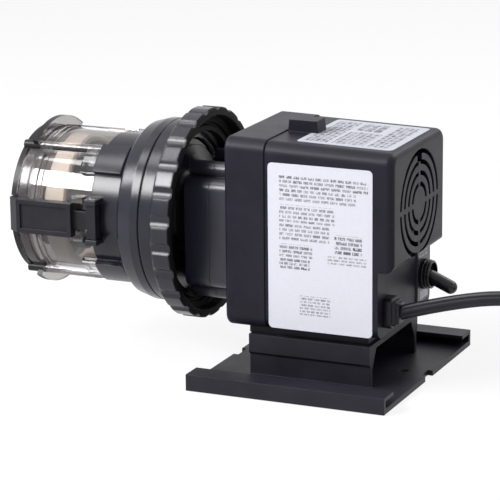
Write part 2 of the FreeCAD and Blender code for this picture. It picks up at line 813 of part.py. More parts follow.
def gear_shape(teeth, module, width, bore, centre, start, aim, gap=False):
    """A spur gear along X with involute flanks; a tooth, or a gap, points at the angle aim."""
    pitch = teeth * module / 2
    base = pitch * math.cos(pressure_angle)
    tip = pitch + module * addendum
    root = pitch - module * dedendum
    half_tooth = math.pi / (2 * teeth) - value("backlash") / (2 * pitch)
    flare = math.tan(pressure_angle) - pressure_angle

    def flank(radius):
        if radius <= base:
            return half_tooth + flare
        pressure = math.acos(base / radius)
        return half_tooth + flare - (math.tan(pressure) - pressure)

    first = max(base, root + module / 40)
    radii = [root] + [first + (tip - first) * share for share in (0, 0.3, 0.65, 1)]
    points = []
    turn = math.radians(aim) + (math.pi / teeth if gap else 0)
    for tooth in range(teeth):
        middle = turn + tooth * 2 * math.pi / teeth
        for radius in radii:
            points.append((radius, middle - flank(radius)))
        for radius in reversed(radii):
            points.append((radius, middle + flank(radius)))
    corners = [FreeCAD.Vector(start, centre[0] + radius * math.cos(angle), centre[1] + radius * math.sin(angle))
               for radius, angle in points]
    face = Part.Face(Part.makePolygon(corners + corners[:1]))
    solid = face.extrude(FreeCAD.Vector(width, 0, 0))
    hole = Part.makeCylinder(bore, width + 2 * past, FreeCAD.Vector(start - past, *centre), FreeCAD.Vector(1, 0, 0))
    return solid.cut(hole)


def gear_centres():
    """Shaft centres in the gear case, from the tooth counts and modules."""
    motor = (0.0, value(motor_height))
    output = (0.0, value("pump_axis_height"))
    coarse = value("coarse_module") * (coarse_pinion_teeth + output_gear_teeth) / 2
    middle = value("middle_module") * (middle_pinion_teeth + second_gear_teeth) / 2
    fine = value("fine_module") * (fine_pinion_teeth + first_gear_teeth) / 2
    side = value("middle_gear_offset")
    second = (side, output[1] - math.sqrt(coarse ** 2 - side ** 2))
    span = math.hypot(second[0] - motor[0], second[1] - motor[1])
    reach = (fine ** 2 - middle ** 2 + span ** 2) / (2 * span)
    swing = math.sqrt(fine ** 2 - reach ** 2)
    unit = ((second[0] - motor[0]) / span, (second[1] - motor[1]) / span)
    first = (motor[0] + reach * unit[0] + swing * unit[1], motor[1] + reach * unit[1] - swing * unit[0])
    return motor, first, second, output


def aim_from(here, there):
    return math.degrees(math.atan2(there[1] - here[1], there[0] - here[0]))


def gear_collar(start, end, centre, bore):
    """Collar between the two toothed rims of one reduction gear."""
    place = FreeCAD.Vector(start, *centre)
    outer = Part.makeCylinder(bore + value("gear_collar_wall"), end - start, place, FreeCAD.Vector(1, 0, 0))
    return outer.cut(Part.makeCylinder(bore, end - start, place, FreeCAD.Vector(1, 0, 0)))


def make_gears():
    """Three stages: motor pinion, two idle shafts with a gear and pinion each, output gear."""
    motor, first, second, output = gear_centres()
    width = value("gear_face")
    fine_start, middle_start, coarse_start = value(pinion_plane), value(middle_plane), value(output_plane)
    fine, middle, coarse = value("fine_module"), value("middle_module"), value("coarse_module")
    bore = value("gear_pin_radius + running_clearance")
    shaped("motor_pinion", gear_shape(fine_pinion_teeth, fine, width, value("motor_shaft_radius"), motor,
                                      fine_start, aim_from(motor, first)))
    wheel = gear_shape(first_gear_teeth, fine, width, bore, first, fine_start, aim_from(first, motor), gap=True)
    pinion = gear_shape(middle_pinion_teeth, middle, width, bore, first, middle_start, aim_from(first, second))
    collar = gear_collar(middle_start + width, fine_start, first, bore)
    shaped("first_reduction_gear", wheel.fuse([pinion, collar]))
    wheel = gear_shape(second_gear_teeth, middle, width, bore, second, middle_start, aim_from(second, first),
                       gap=True)
    pinion = gear_shape(coarse_pinion_teeth, coarse, width, bore, second, coarse_start, aim_from(second, output))
    collar = gear_collar(coarse_start + width, middle_start, second, bore)
    shaped("second_reduction_gear", wheel.fuse([pinion, collar]))
    shaped("output_gear", gear_shape(output_gear_teeth, coarse, width, value("shaft_radius"), output,
                                     coarse_start, aim_from(output, second), gap=True))
    beyond = value("gear_pin_past")
    first_end = value(f"{housing_front} - gear_case_wall + gear_pin_seat")
    second_start = value(f"{case_front} + gear_case_wall - gear_pin_seat")
    pins = []
    for centre, start, end in ((first, middle_start - beyond, first_end),
                               (second, second_start, middle_start + width + beyond)):
        pins.append(Part.makeCylinder(value("gear_pin_radius"), end - start, FreeCAD.Vector(start, *centre),
                                      FreeCAD.Vector(1, 0, 0)))
    shaped("gear_pins", Part.makeCompound(pins))


def case_half(start, end, cavity_start, cavity_end):
    """One half of the gear case: rounded box, its cavity and four screw lugs."""
    wall = "gear_case_wall"
    corners = [("0 - gear_case_half_width", "gear_case_bottom"), ("gear_case_half_width", "gear_case_bottom"),
               ("gear_case_half_width", "gear_case_top"), ("0 - gear_case_half_width", "gear_case_top")]
    inner_corners = [(f"{wall} - gear_case_half_width", f"gear_case_bottom + {wall}"),
                     (f"gear_case_half_width - {wall}", f"gear_case_bottom + {wall}"),
                     (f"gear_case_half_width - {wall}", f"gear_case_top - {wall}"),
                     (f"{wall} - gear_case_half_width", f"gear_case_top - {wall}")]
    outer = drawn("YZ_Plane", corners, f"{end} - ({start})", (start, 0, 0))
    rounded(outer, "gear_case_corner", is_lengthwise)
    inner = drawn("YZ_Plane", inner_corners, f"{cavity_end} - ({cavity_start})", (cavity_start, 0, 0))
    rounded(inner, "gear_case_corner - gear_case_wall", is_lengthwise)
    lugs = [rod("x", (start, *place), "case_lug_radius", f"{end} - ({start})") for place in lug_places]
    return cut(fuse(outer, *lugs), inner)


def make_gear_case():
    """Two halves that screw together on the housing's front, round the gear train."""
    motor, first, second, output = gear_centres()
    rear = case_half(case_middle, housing_front, f"{case_middle} - {past}", f"{housing_front} - gear_case_wall")
    holes = [drill("x", (case_middle, *place), "case_screw_radius", "case_split") for place in lug_places]
    holes.append(drill("x", (f"{housing_front} - gear_case_wall", *motor_axis),
                       "motor_shaft_radius + shaft_hole_gap", "gear_case_wall"))
    holes.append(rod("x", (f"{housing_front} - gear_case_wall - {past}", *first), "gear_pin_radius",
                     f"gear_pin_seat + {past}"))
    keep("gear_case_rear", cut(rear, *holes))
    front = case_half(case_front, case_middle, f"{case_front} + gear_case_wall", f"{case_middle} + {past}")
    holes = [drill("x", (case_front, *place), "case_screw_radius", "gear_case_length - case_split")
             for place in lug_places]
    holes.append(drill("x", (case_front, *pump_axis), "bush_radius", "gear_case_wall"))
    holes.append(rod("x", (f"{case_front} + gear_case_wall - gear_pin_seat", *second), "gear_pin_radius",
                     f"gear_pin_seat + {past}"))
    keep("gear_case_front", cut(front, *holes))
    screws = [fuse(rod("x", (f"{case_front} - case_screw_head_height", *place), "case_screw_head_radius",
                       "case_screw_head_height"),
                   rod("x", (f"{case_front} - case_screw_head_height / 2", *place), "case_screw_radius",
                       "gear_case_length + case_screw_head_height / 2 - case_screw_gap")) for place in lug_places]
    keep("gear_case_screws", group(*screws))


def bushing(label, start, length):
    keep(label, turned([(start, "bush_radius"), (f"{start} + {length}", "bush_radius"),
                        (f"{start} + {length}", "shaft_radius + running_clearance"),
                        (start, "shaft_radius + running_clearance")], pump_axis))


def make_main_shaft():
    """Pump shaft from the output gear to the clear cover, and its bushings."""
    end = f"({disc_rear} + shaft_end_gap)"
    keep("main_shaft", turned([(end, 0), (f"{output_plane} + gear_face", 0),
                               (f"{output_plane} + gear_face", "shaft_radius"),
                               (f"{end} + shaft_chamfer", "shaft_radius"),
                               (end, "shaft_radius - shaft_chamfer")], pump_axis))
    bushing("gear_case_bushing", case_front, "gear_case_wall")
    bushing("head_bushing", f"({feed_front} - head_wall)", "head_wall + head_plate_thickness")
    bushing("cover_bushing", disc_rear, "boss_length")


def make_feed_housing():
    """Stepped housing between the gear case and the pump head; the dial ring rides on its shoulder."""
    groove = f"({feed_rear} - groove_place)"
    inside = "shoulder_radius - shoulder_wall"
    ledge = "head_plate_radius - head_plate_ledge"
    housing = turned([
        (feed_front, "feed_nose_radius - feed_nose_chamfer"),
        (f"{feed_front} + feed_nose_chamfer", "feed_nose_radius"),
        (f"{feed_front} + feed_nose_length", "feed_radius"),
        (f"{groove} - groove_size", "feed_radius"),
        (f"{groove} - groove_size / 2", "feed_radius - groove_size"),
        (groove, "feed_radius"),
        (feed_rear, "feed_radius"),
        (feed_rear, "shoulder_radius"),
        (f"{feed_rear} + shoulder_length", "shoulder_radius"),
        (f"{feed_rear} + shoulder_length", inside),
        (feed_web_rear, inside),
        (feed_web_rear, "hub_radius"),
        (case_front, "hub_radius"),
        (case_front, "bush_radius + hub_bore_gap"),
        (feed_web_front, "bush_radius + hub_bore_gap"),
        (feed_web_front, inside),
        (f"{feed_front} + feed_nose_length", inside),
        (f"{plate_rear} + head_plate_ledge", ledge),
        (plate_rear, ledge),
        (plate_rear, "head_plate_radius"),
        (feed_front, "head_plate_radius"),
    ], pump_axis)
    slot_inner = "finger_radius - finger_size / 2 - finger_gap"
    slot_outer = "finger_radius + finger_size / 2 + finger_gap"
    slot_start = f"{feed_web_front} - {past}"
    slot_end = f"{feed_web_rear} + {past}"
    first_angle = value("0 - 90 - dial_slot_margin")
    slot = turned([(slot_start, slot_inner), (slot_end, slot_inner), (slot_end, slot_outer),
                   (slot_start, slot_outer)], pump_axis, first_angle, value("dial_range + 2 * dial_slot_margin"))
    keep("feed_rate_housing", cut(housing, slot))
    keep("head_plate", turned([(feed_front, "bush_radius"), (feed_front, "head_plate_radius"),
                               (plate_rear, "head_plate_radius"), (plate_rear, "bush_radius")], pump_axis))


def make_dial_ring():
    """Scalloped dial ring; its rear is hollow, with a step inside the rim."""
    step_outer = "ring_radius - ring_rim - ring_rim_draft"
    step_inner = f"{step_outer} - ring_step_width"
    web = f"{ring_front} + ring_web"
    ring = turned([
        (ring_front, "shoulder_radius + running_clearance"),
        (ring_front, "ring_radius - ring_front_chamfer"),
        (f"{ring_front} + ring_front_chamfer", "ring_radius"),
        (f"{ring_rear} - ring_rear_chamfer", "ring_radius"),
        (ring_rear, "ring_radius - ring_rear_chamfer"),
        (ring_rear, "ring_radius - ring_rim"),
        (ring_step, step_outer),
        (ring_step, step_inner),
        (web, step_inner),
        (web, "shoulder_radius + running_clearance"),
    ], pump_axis)
    reach = "(ring_radius - scallop_depth + scallop_radius)"
    scallops = []
    for index in range(scallop_count):
        angle = (index + 0.5) * 360.0 / scallop_count
        scallops.append(drill("x", ring_place(ring_front, reach, angle), "scallop_radius", "ring_width"))
    keep("dial_ring", cut(ring, *scallops))


def make_variable_cam():
    """Ramp that the dial turns, with the finger and arm that join it to the dial ring."""
    cam_rear = f"({feed_web_front} - cam_gap)"
    cam_front = f"({cam_rear} - cam_thickness)"
    lap = "cam_gap"
    cam = turned([(cam_front, "cam_inner"), (cam_rear, "cam_inner"), (cam_rear, "cam_outer"),
                  (cam_front, "cam_outer")], pump_axis)
    ramp = turned([(f"{cam_front} - cam_rise", "cam_inner"), (f"{cam_front} + {lap}", "cam_inner"),
                   (f"{cam_front} + {lap}", "cam_outer"), (f"{cam_front} - cam_rise", "cam_outer")],
                  pump_axis, 180, 180)
    arm_start = f"({feed_rear} + shoulder_length + cam_gap)"
    arm_end = f"({arm_start} + cam_arm_thickness)"
    arm_inner = "finger_radius - finger_size / 2"
    arm_outer = "(ring_radius - ring_rim - ring_rim_draft - cam_lug_gap)"
    arm_low = "pump_axis_height - cam_arm_width / 2"
    finger = block((f"{cam_rear} - {lap}", arm_inner, "pump_axis_height - finger_width / 2"),
                   (f"{arm_end} - {cam_rear} + {lap}", "finger_size", "finger_width"))
    arm = block((arm_start, arm_inner, arm_low),
                ("cam_arm_thickness", f"{arm_outer} - ({arm_inner})", "cam_arm_width"))
    lug = block((ring_step, f"{arm_outer} - cam_lug_depth", arm_low),
                (f"{arm_end} - {ring_step}", "cam_lug_depth", "cam_arm_width"))
    keep("variable_cam", fuse(cam, ramp, finger, arm, lug))


def make_feed_internals():
    """Fixed cam, index plate with its ring of holes, and the lifter with its pin."""
    make_variable_cam()
    cam_top = f"({plate_rear} + cam_thickness)"
    fixed = turned([(plate_rear, "cam_inner"), (cam_top, "cam_inner"), (cam_top, "cam_outer"),
                    (plate_rear, "cam_outer")], pump_axis)
    rise = turned([(f"{cam_top} - cam_gap", "cam_inner"), (f"{cam_top} + cam_rise", "cam_inner"),
                   (f"{cam_top} + cam_rise", "cam_outer"), (f"{cam_top} - cam_gap", "cam_outer")],
                  pump_axis, 0, 180)
    keep("fixed_cam", fuse(fixed, rise))
    index_start = f"({plate_rear} + index_gap)"
    index_end = f"({index_start} + index_thickness)"
    pin_circle = "(index_radius - index_hole_setback)"
    plate = turned([(index_start, "shaft_radius"), (index_end, "shaft_radius"), (index_end, "index_radius"),
                    (index_start, "index_radius")], pump_axis)
    holes = [drill("x", ring_place(index_start, pin_circle, index * 360 / index_holes),
                   "index_pin_radius + running_clearance", "index_thickness") for index in range(index_holes)]
    keep("index_plate", cut(plate, *holes))
    lifter_start = f"({index_end} + lifter_gap)"
    lifter_end = f"({lifter_start} + lifter_thickness)"
    disc = turned([(lifter_start, "shaft_radius"), (lifter_end, "shaft_radius"), (lifter_end, "lifter_radius"),
                   (lifter_start, "lifter_radius")], pump_axis)
    arm_root = "(lifter_radius - lifter_thickness)"
    arm = block((lifter_start, "0 - lifter_arm_width / 2", f"pump_axis_height + {arm_root}"),
                ("lifter_thickness", "lifter_arm_width", f"cam_outer - lifter_arm_setback - {arm_root}"))
    pin_hole = drill("x", ring_place(lifter_start, pin_circle, 90), "index_pin_radius", "lifter_thickness")
    keep("lifter", cut(fuse(disc, arm), pin_hole))
    keep("index_pin", rod("x", ring_place(f"{index_start} + index_pin_setback", pin_circle, 90),
                          "index_pin_radius", "index_pin_length"))


def make_tube_housing():
    """Black cup behind the clear cover, with four corner ribs and the latch ears."""
    floor = f"{feed_front} - head_wall"
    cup = turned([(tube_housing_front, "head_radius - head_wall"), (tube_housing_front, "head_radius"),
                  (feed_front, "head_radius"), (feed_front, "bush_radius"), (floor, "bush_radius"),
                  (floor, "head_radius - head_wall")], pump_axis)
    rib_rear = f"{feed_front} - rib_setback"
    rib_root = "head_radius - head_wall / 3"
    sweep = value("rib_sweep")
    ribs = [turned([(tube_housing_front, rib_root), (rib_rear, rib_root), (rib_rear, "rib_radius - rib_chamfer"),
                    (f"{rib_rear} - rib_chamfer", "rib_radius"), (tube_housing_front, "rib_radius")],
                   pump_axis, angle - 90 - sweep / 2, sweep) for angle in rib_angles]
    ear_root = "(head_radius - head_wall)"
    ear_tip = f"({latch_pin_side} + ear_past_pin)"
    ears = []
    holes = []
    for side in (-1, 1):
        inner = ear_root if side > 0 else f"0 - {ear_tip}"
        for low in ("latch_height / 2 + ear_gap", "0 - latch_height / 2 - ear_gap - ear_thickness"):
            ears.append(block((f"{tube_housing_front} + ear_setback", inner, f"pump_axis_height + {low}"),
                              ("ear_length", f"{ear_tip} - {ear_root}", "ear_thickness")))
        holes.append(drill("z", (latch_pin_place, f"{side} * {latch_pin_side}",
                                 "pump_axis_height - latch_height / 2 - ear_gap - ear_thickness"),
                           "latch_pin_radius", "latch_height + 2 * ear_gap + 2 * ear_thickness"))
    keep("tube_housing", cut(fuse(cup, *ribs, *ears), *holes))


def make_clear_cover():
    """Clear cup over the rollers: rods ending in lugs, two finger tabs, latch guides and pockets, shaft boss."""
    bore = "head_radius - head_wall"
    outside = "head_radius - cover_step"
    cup = turned([
        (tube_housing_front, bore), (tube_housing_front, outside),
        (f"{disc_rear} + tab_root / 2", outside), (disc_rear, "end_disc_radius"),
        (cover_front, "end_disc_radius"), (cover_front, "disc_recess_radius"),
        (f"{cover_front} + disc_recess_depth", "disc_recess_radius - disc_recess_depth"),
        (f"{cover_front} + disc_recess_depth", 0), (disc_rear, 0), (disc_rear, "bush_radius"),
        (f"{disc_rear} + boss_length", "bush_radius"),
        (f"{disc_rear} + boss_length", "bush_radius + boss_wall"),
        (disc_rear, "bush_radius + boss_wall + boss_draft"), (disc_rear, bore),
    ], pump_axis)
    rods = [rod("x", ring_place(f"{cover_front} + cover_step", "(head_radius + rod_rise)", angle), "rod_radius",
                f"{tube_housing_front} - {cover_front} - cover_step") for angle in rod_angles]
    lug_front = f"{tube_housing_front} - lug_length"
    lug_root = "head_radius - head_wall / 2"
    lug_sweep = value("rib_sweep")
    lugs = [turned([(lug_front, lug_root), (tube_housing_front, lug_root),
                    (tube_housing_front, "rib_radius - lug_drop"),
                    (f"{lug_front} + rib_chamfer", "rib_radius - lug_drop"),
                    (lug_front, "rib_radius - lug_drop - rib_chamfer")],
                   pump_axis, angle - 90 - lug_sweep / 2, lug_sweep) for angle in rib_angles]
    sweep = value("tab_sweep")
    tab_start = f"{cover_front} + tab_setback"
    tab_end = f"{tab_start} + tab_thickness"
    tabs = [turned([(tab_start, "head_radius - tab_root"), (tab_end, "head_radius - tab_root"),
                    (tab_end, "tab_radius"), (tab_start, "tab_radius")], pump_axis, middle - sweep / 2, sweep)
            for middle in (0, 180)]
    guides = []
    pockets = []
    pocket_root = f"({latch_inner} - latch_hook_grip - latch_pocket_gap)"
    pocket_half = "(latch_height / 2 + latch_pocket_gap)"
    guide_root = "(head_radius - head_wall - cover_step)"
    for side in (-1, 1):
        root = guide_root if side > 0 else "0 - head_radius - guide_rise"
        for low in ("latch_height / 2 + guide_gap", "0 - latch_height / 2 - guide_gap - guide_thickness"):
            guides.append(block((f"{tube_housing_front} - guide_setback - guide_length", root,
                                 f"pump_axis_height + {low}"),
                                ("guide_length", f"head_radius + guide_rise - {guide_root}", "guide_thickness")))
        root = pocket_root if side > 0 else f"0 - end_disc_radius - {past}"
        pockets.append(block((f"{cover_front} - {past}", root, f"pump_axis_height - {pocket_half}"),
                             (f"{past} + latch_setback + latch_hook + latch_hook_gap",
                              f"end_disc_radius + {past} - {pocket_root}", f"2 * {pocket_half}")))
    slots = []
    for up in (-1, 1):
        low = f"pump_axis_height + {up} * port_height - tube_diameter / 2 - tube_slot_gap"
        start = f"({track_middle} - tube_wide / 2 - tube_slot_gap)"
        slots.append(block((start, "head_radius / 2", low), (f"{tube_housing_front} - {start} + {past}",
                                                             "head_radius", "tube_diameter + 2 * tube_slot_gap")))
    keep("clear_cover", cut(fuse(cup, *rods, *lugs, *tabs, *guides), *slots, *pockets))


def make_pump_tube():
    """Squeeze tube: flattened round the track, bent out to two round ends on the far side."""
    half_wide = value("tube_wide") / 2
    half_flat = value("tube_flat") / 2
    bevel = half_flat / 2
    middle = value(track_middle)
    height = value("pump_axis_height")
    track = value("head_radius - head_wall - track_clearance - tube_flat / 2")
    bend = value("port_bend")
    port = value("port_height")
    leave = math.degrees(math.asin((port + bend) / (track + bend)))
    along_x = FreeCAD.Vector(1, 0, 0)
    section = [(half_wide, bevel), (half_wide - bevel, half_flat), (bevel - half_wide, half_flat),
               (-half_wide, bevel), (-half_wide, -bevel), (bevel - half_wide, -half_flat),
               (half_wide - bevel, -half_flat), (half_wide, -bevel)]

    def band(centre_y, centre_z, radius, start, sweep):
        """A bend of the flattened section."""
        side = math.radians(start)
        out = FreeCAD.Vector(0, math.cos(side), math.sin(side))
        centre = FreeCAD.Vector(middle, centre_y, centre_z)
        corners = [centre + along_x * flat + out * (radius + thick) for flat, thick in section]
        return Part.Face(Part.makePolygon(corners + corners[:1])).revolve(centre, along_x, sweep)

    shapes = [band(0, height, track, leave, 360 - 2 * leave)]
    straight_start = (track + bend) * math.cos(math.radians(leave))
    across = FreeCAD.Vector(0, 1, 0)
    for side in (-1, 1):
        start = 180 + leave if side > 0 else 180 - leave
        shapes.append(band(straight_start, height + side * (port + bend), bend, start, side * (90 - leave)))
        place = FreeCAD.Vector(middle, straight_start, height + side * port)
        shapes.append(Part.makeCylinder(value("tube_diameter") / 2, value("port_reach") - straight_start,
                                        place, across))
    tube = shapes[0].fuse(shapes[1:]).removeSplitter()
    for side in (-1, 1):
        place = FreeCAD.Vector(middle, straight_start + half_flat, height + side * port)
        tube = tube.cut(Part.makeCylinder(value("tube_bore") / 2, value("port_reach"), place, across))
    shaped("pump_tube", tube)


def make_fittings():
    """A tube fitting and its nut on each end of the squeeze tube."""
    for label, up in (("discharge", 1), ("suction", -1)):
        height = f"pump_axis_height + {up} * port_height"
        sleeve = rod("y", (track_middle, "port_reach", height), "fitting_radius - nut_wall", "fitting_length")
        flange = rod("y", (track_middle, "port_reach", height), "fitting_radius", "fitting_flange")
        bore = rod("y", (track_middle, "port_reach + fitting_floor", height), "fitting_bore", "fitting_length")
        passage = drill("y", (track_middle, "port_reach", height), "tube_bore / 2", "fitting_floor")
        keep(f"{label}_fitting", cut(fuse(sleeve, flange), bore, passage))
        nut_start = "port_reach + fitting_flange"
        nut = rod("y", (track_middle, nut_start, height), "fitting_radius", "nut_length")
        opening = drill("y", (track_middle, nut_start, height), "fitting_radius - nut_wall", "nut_length")
        keep(f"{label}_nut", cut(nut, opening))


def make_rollers():
    """Three-arm spider on the shaft, with a roller and its axle on each arm."""
    orbit = "(head_radius - head_wall - 2 * track_clearance - tube_flat - roller_radius)"
    start = f"({track_middle} - roller_length / 2)"
    arm_starts = (f"({start} - roller_gap - arm_thickness)", f"({start} + roller_length + roller_gap)")
    overall = "roller_length + 2 * roller_gap + 2 * arm_thickness"
    hub = rod("x", (arm_starts[0], *pump_axis), "spider_hub", overall)
    arms = []
    seats = []
    axles = []
    for index in range(roller_count):
        angle = 90 + index * 360 / roller_count
        for arm_start in arm_starts:
            arms.append(rod("x", ring_place(arm_start, orbit, angle), "arm_radius", "arm_thickness"))
            bar = block((0, 0, 0), ("arm_thickness", orbit, "2 * arm_radius"))
            seat(bar, (arm_start, f"arm_radius * sin({angle})", f"pump_axis_height - arm_radius * cos({angle})"),
                 ((1, 0, 0), angle))
            arms.append(bar)
        seats.append(drill("x", ring_place(arm_starts[0], orbit, angle), "axle_radius", overall))
        axles.append(rod("x", ring_place(arm_starts[0], orbit, angle), "axle_radius", overall))
        keep(f"roller_{index + 1}", cut(
            rod("x", ring_place(start, orbit, angle), "roller_radius", "roller_length"),
            drill("x", ring_place(start, orbit, angle), "axle_radius + running_clearance", "roller_length")))
    shaft_hole = drill("x", (arm_starts[0], *pump_axis), "shaft_radius", overall)
    keep("roller_spider", cut(fuse(hub, *arms), shaft_hole, *seats))
    keep("roller_axles", group(*axles))


def make_latches():
    """Two hinged latches, each hooked into a pocket of the end disc, with a low arm back to its hinge."""
    low = "pump_axis_height - latch_height / 2"
    tip = f"({cover_front} + latch_setback)"
    tail = f"({latch_pin_place} + latch_tail)"
    knuckle_front = f"({latch_pin_place} - latch_knuckle)"
    knuckle_outer = f"({latch_outer} - latch_knuckle_drop)"
    block_rear = f"({tube_housing_front} - latch_block_setback)"
    arm_outer = f"({latch_inner} + latch_arm_thickness)"
    hook_edge = f"({latch_inner} - latch_hook_grip)"
    relieved = f"({latch_inner} + latch_relief)"
    relief_end = f"{disc_rear} + latch_relief_length"
    spare = "(latch_height - latch_arm_height) / 2"
    for label, side in (("near", -1), ("far", 1)):
        plate = drawn("XY_Plane", [
            (tail, f"{side} * ({latch_inner} + latch_relief / 2)"),
            (tail, f"{side} * {knuckle_outer}"),
            (knuckle_front, f"{side} * {knuckle_outer}"),
            (knuckle_front, f"{side} * {arm_outer}"),
            (block_rear, f"{side} * {arm_outer}"),
            (block_rear, f"{side} * {latch_outer}"),
            (f"{tip} + latch_bevel_length", f"{side} * {latch_outer}"),
            (tip, f"{side} * ({latch_outer} - latch_bevel_depth)"),
            (tip, f"{side} * {hook_edge}"),
            (f"{tip} + latch_hook", f"{side} * {hook_edge}"),
            (f"{tip} + latch_hook", f"{side} * {relieved}"),
            (relief_end, f"{side} * {relieved}"),
            (f"{relief_end} + 2 * latch_relief", f"{side} * {latch_inner}"),
        ], "latch_height", (0, 0, low))
        panel_side = f"{latch_outer} - latch_panel_depth" if side > 0 else f"0 - {latch_outer} - {past}"
        panel = block((f"{tip} + latch_panel_start", panel_side, f"{low} + latch_panel_margin"),
                      (f"{block_rear} - latch_panel_end - {tip} - latch_panel_start",
                       f"latch_panel_depth + {past}", "latch_height - 2 * latch_panel_margin"))
        beside = f"{latch_inner} - {past}" if side > 0 else f"0 - {latch_outer} - {past}"
        trims = [block((block_rear, beside, start), (f"{knuckle_front} - {block_rear}",
                                                     f"latch_thickness + 2 * {past}", f"{spare} + {past}"))
                 for start in (f"{low} - {past}", f"{low} + latch_height - {spare}")]
        pin_foot = (latch_pin_place, f"{side} * {latch_pin_side}", low)
        hole = drill("z", pin_foot, "latch_pin_radius + running_clearance", "latch_height")
        keep(f"{label}_latch", cut(plate, panel, hole, *trims))
        keep(f"{label}_latch_pin", rod("z", (*pin_foot[:2], f"{low} - ear_gap - ear_thickness"),
                                       "latch_pin_radius", "latch_height + 2 * ear_gap + 2 * ear_thickness"))


def make_lever(pivot):
    """Toggle lever in its rubber cap, turned in one piece with the ball that it rocks on."""
    radius, ball, length = value("lever_radius"), value("lever_ball"), value("lever_length")
    neck = math.sqrt(ball ** 2 - radius ** 2)
    share = math.sqrt(0.5)
    back = FreeCAD.Vector(-ball, 0, 0)
    collar = FreeCAD.Vector(neck, 0, radius)
    shoulder = FreeCAD.Vector(length - radius, 0, radius)
    round_tip = FreeCAD.Vector(length - radius * (1 - share), 0, radius * share)
    end = FreeCAD.Vector(length, 0, 0)
    edges = [Part.Arc(back, FreeCAD.Vector(0, 0, ball), collar).toShape(),
             Part.LineSegment(collar, shoulder).toShape(),
             Part.Arc(shoulder, round_tip, end).toShape(),
             Part.LineSegment(end, back).toShape()]
    lever = Part.Face(Part.Wire(edges)).revolve(FreeCAD.Vector(), FreeCAD.Vector(1, 0, 0), 360)
    lever.rotate(FreeCAD.Vector(), FreeCAD.Vector(0, 1, 0), value("lever_droop"))
    lever.translate(pivot)
    shaped("toggle_lever", lever)


def make_switch():
    """Toggle switch: body inside, legend plate, booted nut and lever."""
    place = ("switch_side", "switch_height")
    inside = f"{lower_panel} - shell_wall"
    body = block((f"{inside} - switch_body_depth", "switch_side - switch_body_width / 2",
                  "switch_height - switch_body_height / 2"),
                 ("switch_body_depth", "switch_body_width", "switch_body_height"))
    stem = rod("x", (f"{inside} - {past}", *place), "switch_stem", f"shell_wall + {past} + legend_thickness")
    socket = drill("x", (inside, *place), "lever_ball + running_clearance", "shell_wall + legend_thickness")
    keep("toggle_switch_body", cut(fuse(body, stem), socket))
    legend = block((lower_panel, "switch_side - legend_width / 2", "switch_height - legend_height / 2"),
                   ("legend_thickness", "legend_width", "legend_height"))
    keep("switch_plate", cut(legend, drill("x", (lower_panel, *place), "switch_stem", "legend_thickness")))
    boot_start = f"({lower_panel} + legend_thickness)"
    boot_end = f"({boot_start} + boot_depth)"
    keep("toggle_boot", turned([
        (boot_start, "switch_stem"), (boot_start, "boot_radius"),
        (f"{boot_end} - boot_shoulder", "boot_radius"), (boot_end, "boot_radius - boot_slant"),
        (boot_end, "boot_mouth"), (f"{boot_end} - boot_mouth_depth", "boot_mouth"),
        (f"{boot_end} - boot_mouth_depth", "switch_stem"),
    ], place))
    make_lever(FreeCAD.Vector(value(f"{boot_start} + lever_seat"), value("switch_side"), value("switch_height")))


def make_strain_relief():
    """Clamping block of the power cord, with its neck through the lower panel."""
    side = "(relief_side + relief_width / 2)"
    low = "relief_height - relief_tall / 2"
    outer = block((lower_panel, f"0 - {side}", low), ("relief_depth", "relief_width", "relief_tall"))
    neck = block((f"{lower_panel} - shell_wall - relief_neck_past", f"relief_flange - {side}",
                  f"{low} + relief_flange"),
                 (f"shell_wall + relief_neck_past + {past}", "relief_width - 2 * relief_flange",
                  "relief_tall - 2 * relief_flange"))
    keep("strain_relief", fuse(outer, neck))


def bent_tube(label, points):
    """A tube of straight runs joined by tangent arcs along a route."""
    route = [FreeCAD.Vector(*point) for point in points]
    edges = []
    radii = []
    start = route[0]
    for before, corner, after in zip(route, route[1:], route[2:]):
        into = (corner - before).normalize()
        out = (after - corner).normalize()
        turn = into.getAngle(out)
        back = arc_share * min(before.distanceToPoint(corner), corner.distanceToPoint(after))
        radius = back / math.tan(turn / 2)
        radii.append(radius)
        arc_start = corner - into * back
        arc_end = corner + out * back
        middle = corner + (out - into).normalize() * (radius / math.cos(turn / 2) - radius)
        edges.append(Part.LineSegment(start, arc_start).toShape())
        edges.append(Part.Arc(arc_start, middle, arc_end).toShape())
        start = arc_end
    edges.append(Part.LineSegment(start, route[-1]).toShape())
    path = Part.Wire(edges)
    half = value("cord_diameter") / 2
    heading = (route[1] - route[0]).normalize()
    section = Part.Wire(Part.makeCircle(half, route[0], heading))
    tube = path.makePipeShell([section], True, False)
    print(f"{label}: length {path.Length:.1f}, volume {tube.Volume / (math.pi * half ** 2 * path.Length):.4f} "
          f"of expected, radii {[round(radius) for radius in radii]}")
    shaped(label, tube)


def make_coil():
    """The cord's spare length as one ring with chamfered edges."""
    outer, inner = value("coil_outer"), value("coil_inner")
    tall, chamfer = value("coil_height"), value("coil_chamfer")
    section = [(inner, chamfer), (inner + chamfer, 0), (outer - chamfer, 0), (outer, chamfer),
               (outer, tall - chamfer), (outer - chamfer, tall), (inner + chamfer, tall), (inner, tall - chamfer)]
    corners = [FreeCAD.Vector(coil_centre[0] + radius, coil_centre[1], height) for radius, height in section]
    ring = Part.Face(Part.makePolygon(corners + corners[:1]))
    shaped("cord_coil", ring.revolve(FreeCAD.Vector(*coil_centre, 0), FreeCAD.Vector(0, 0, 1), 360))


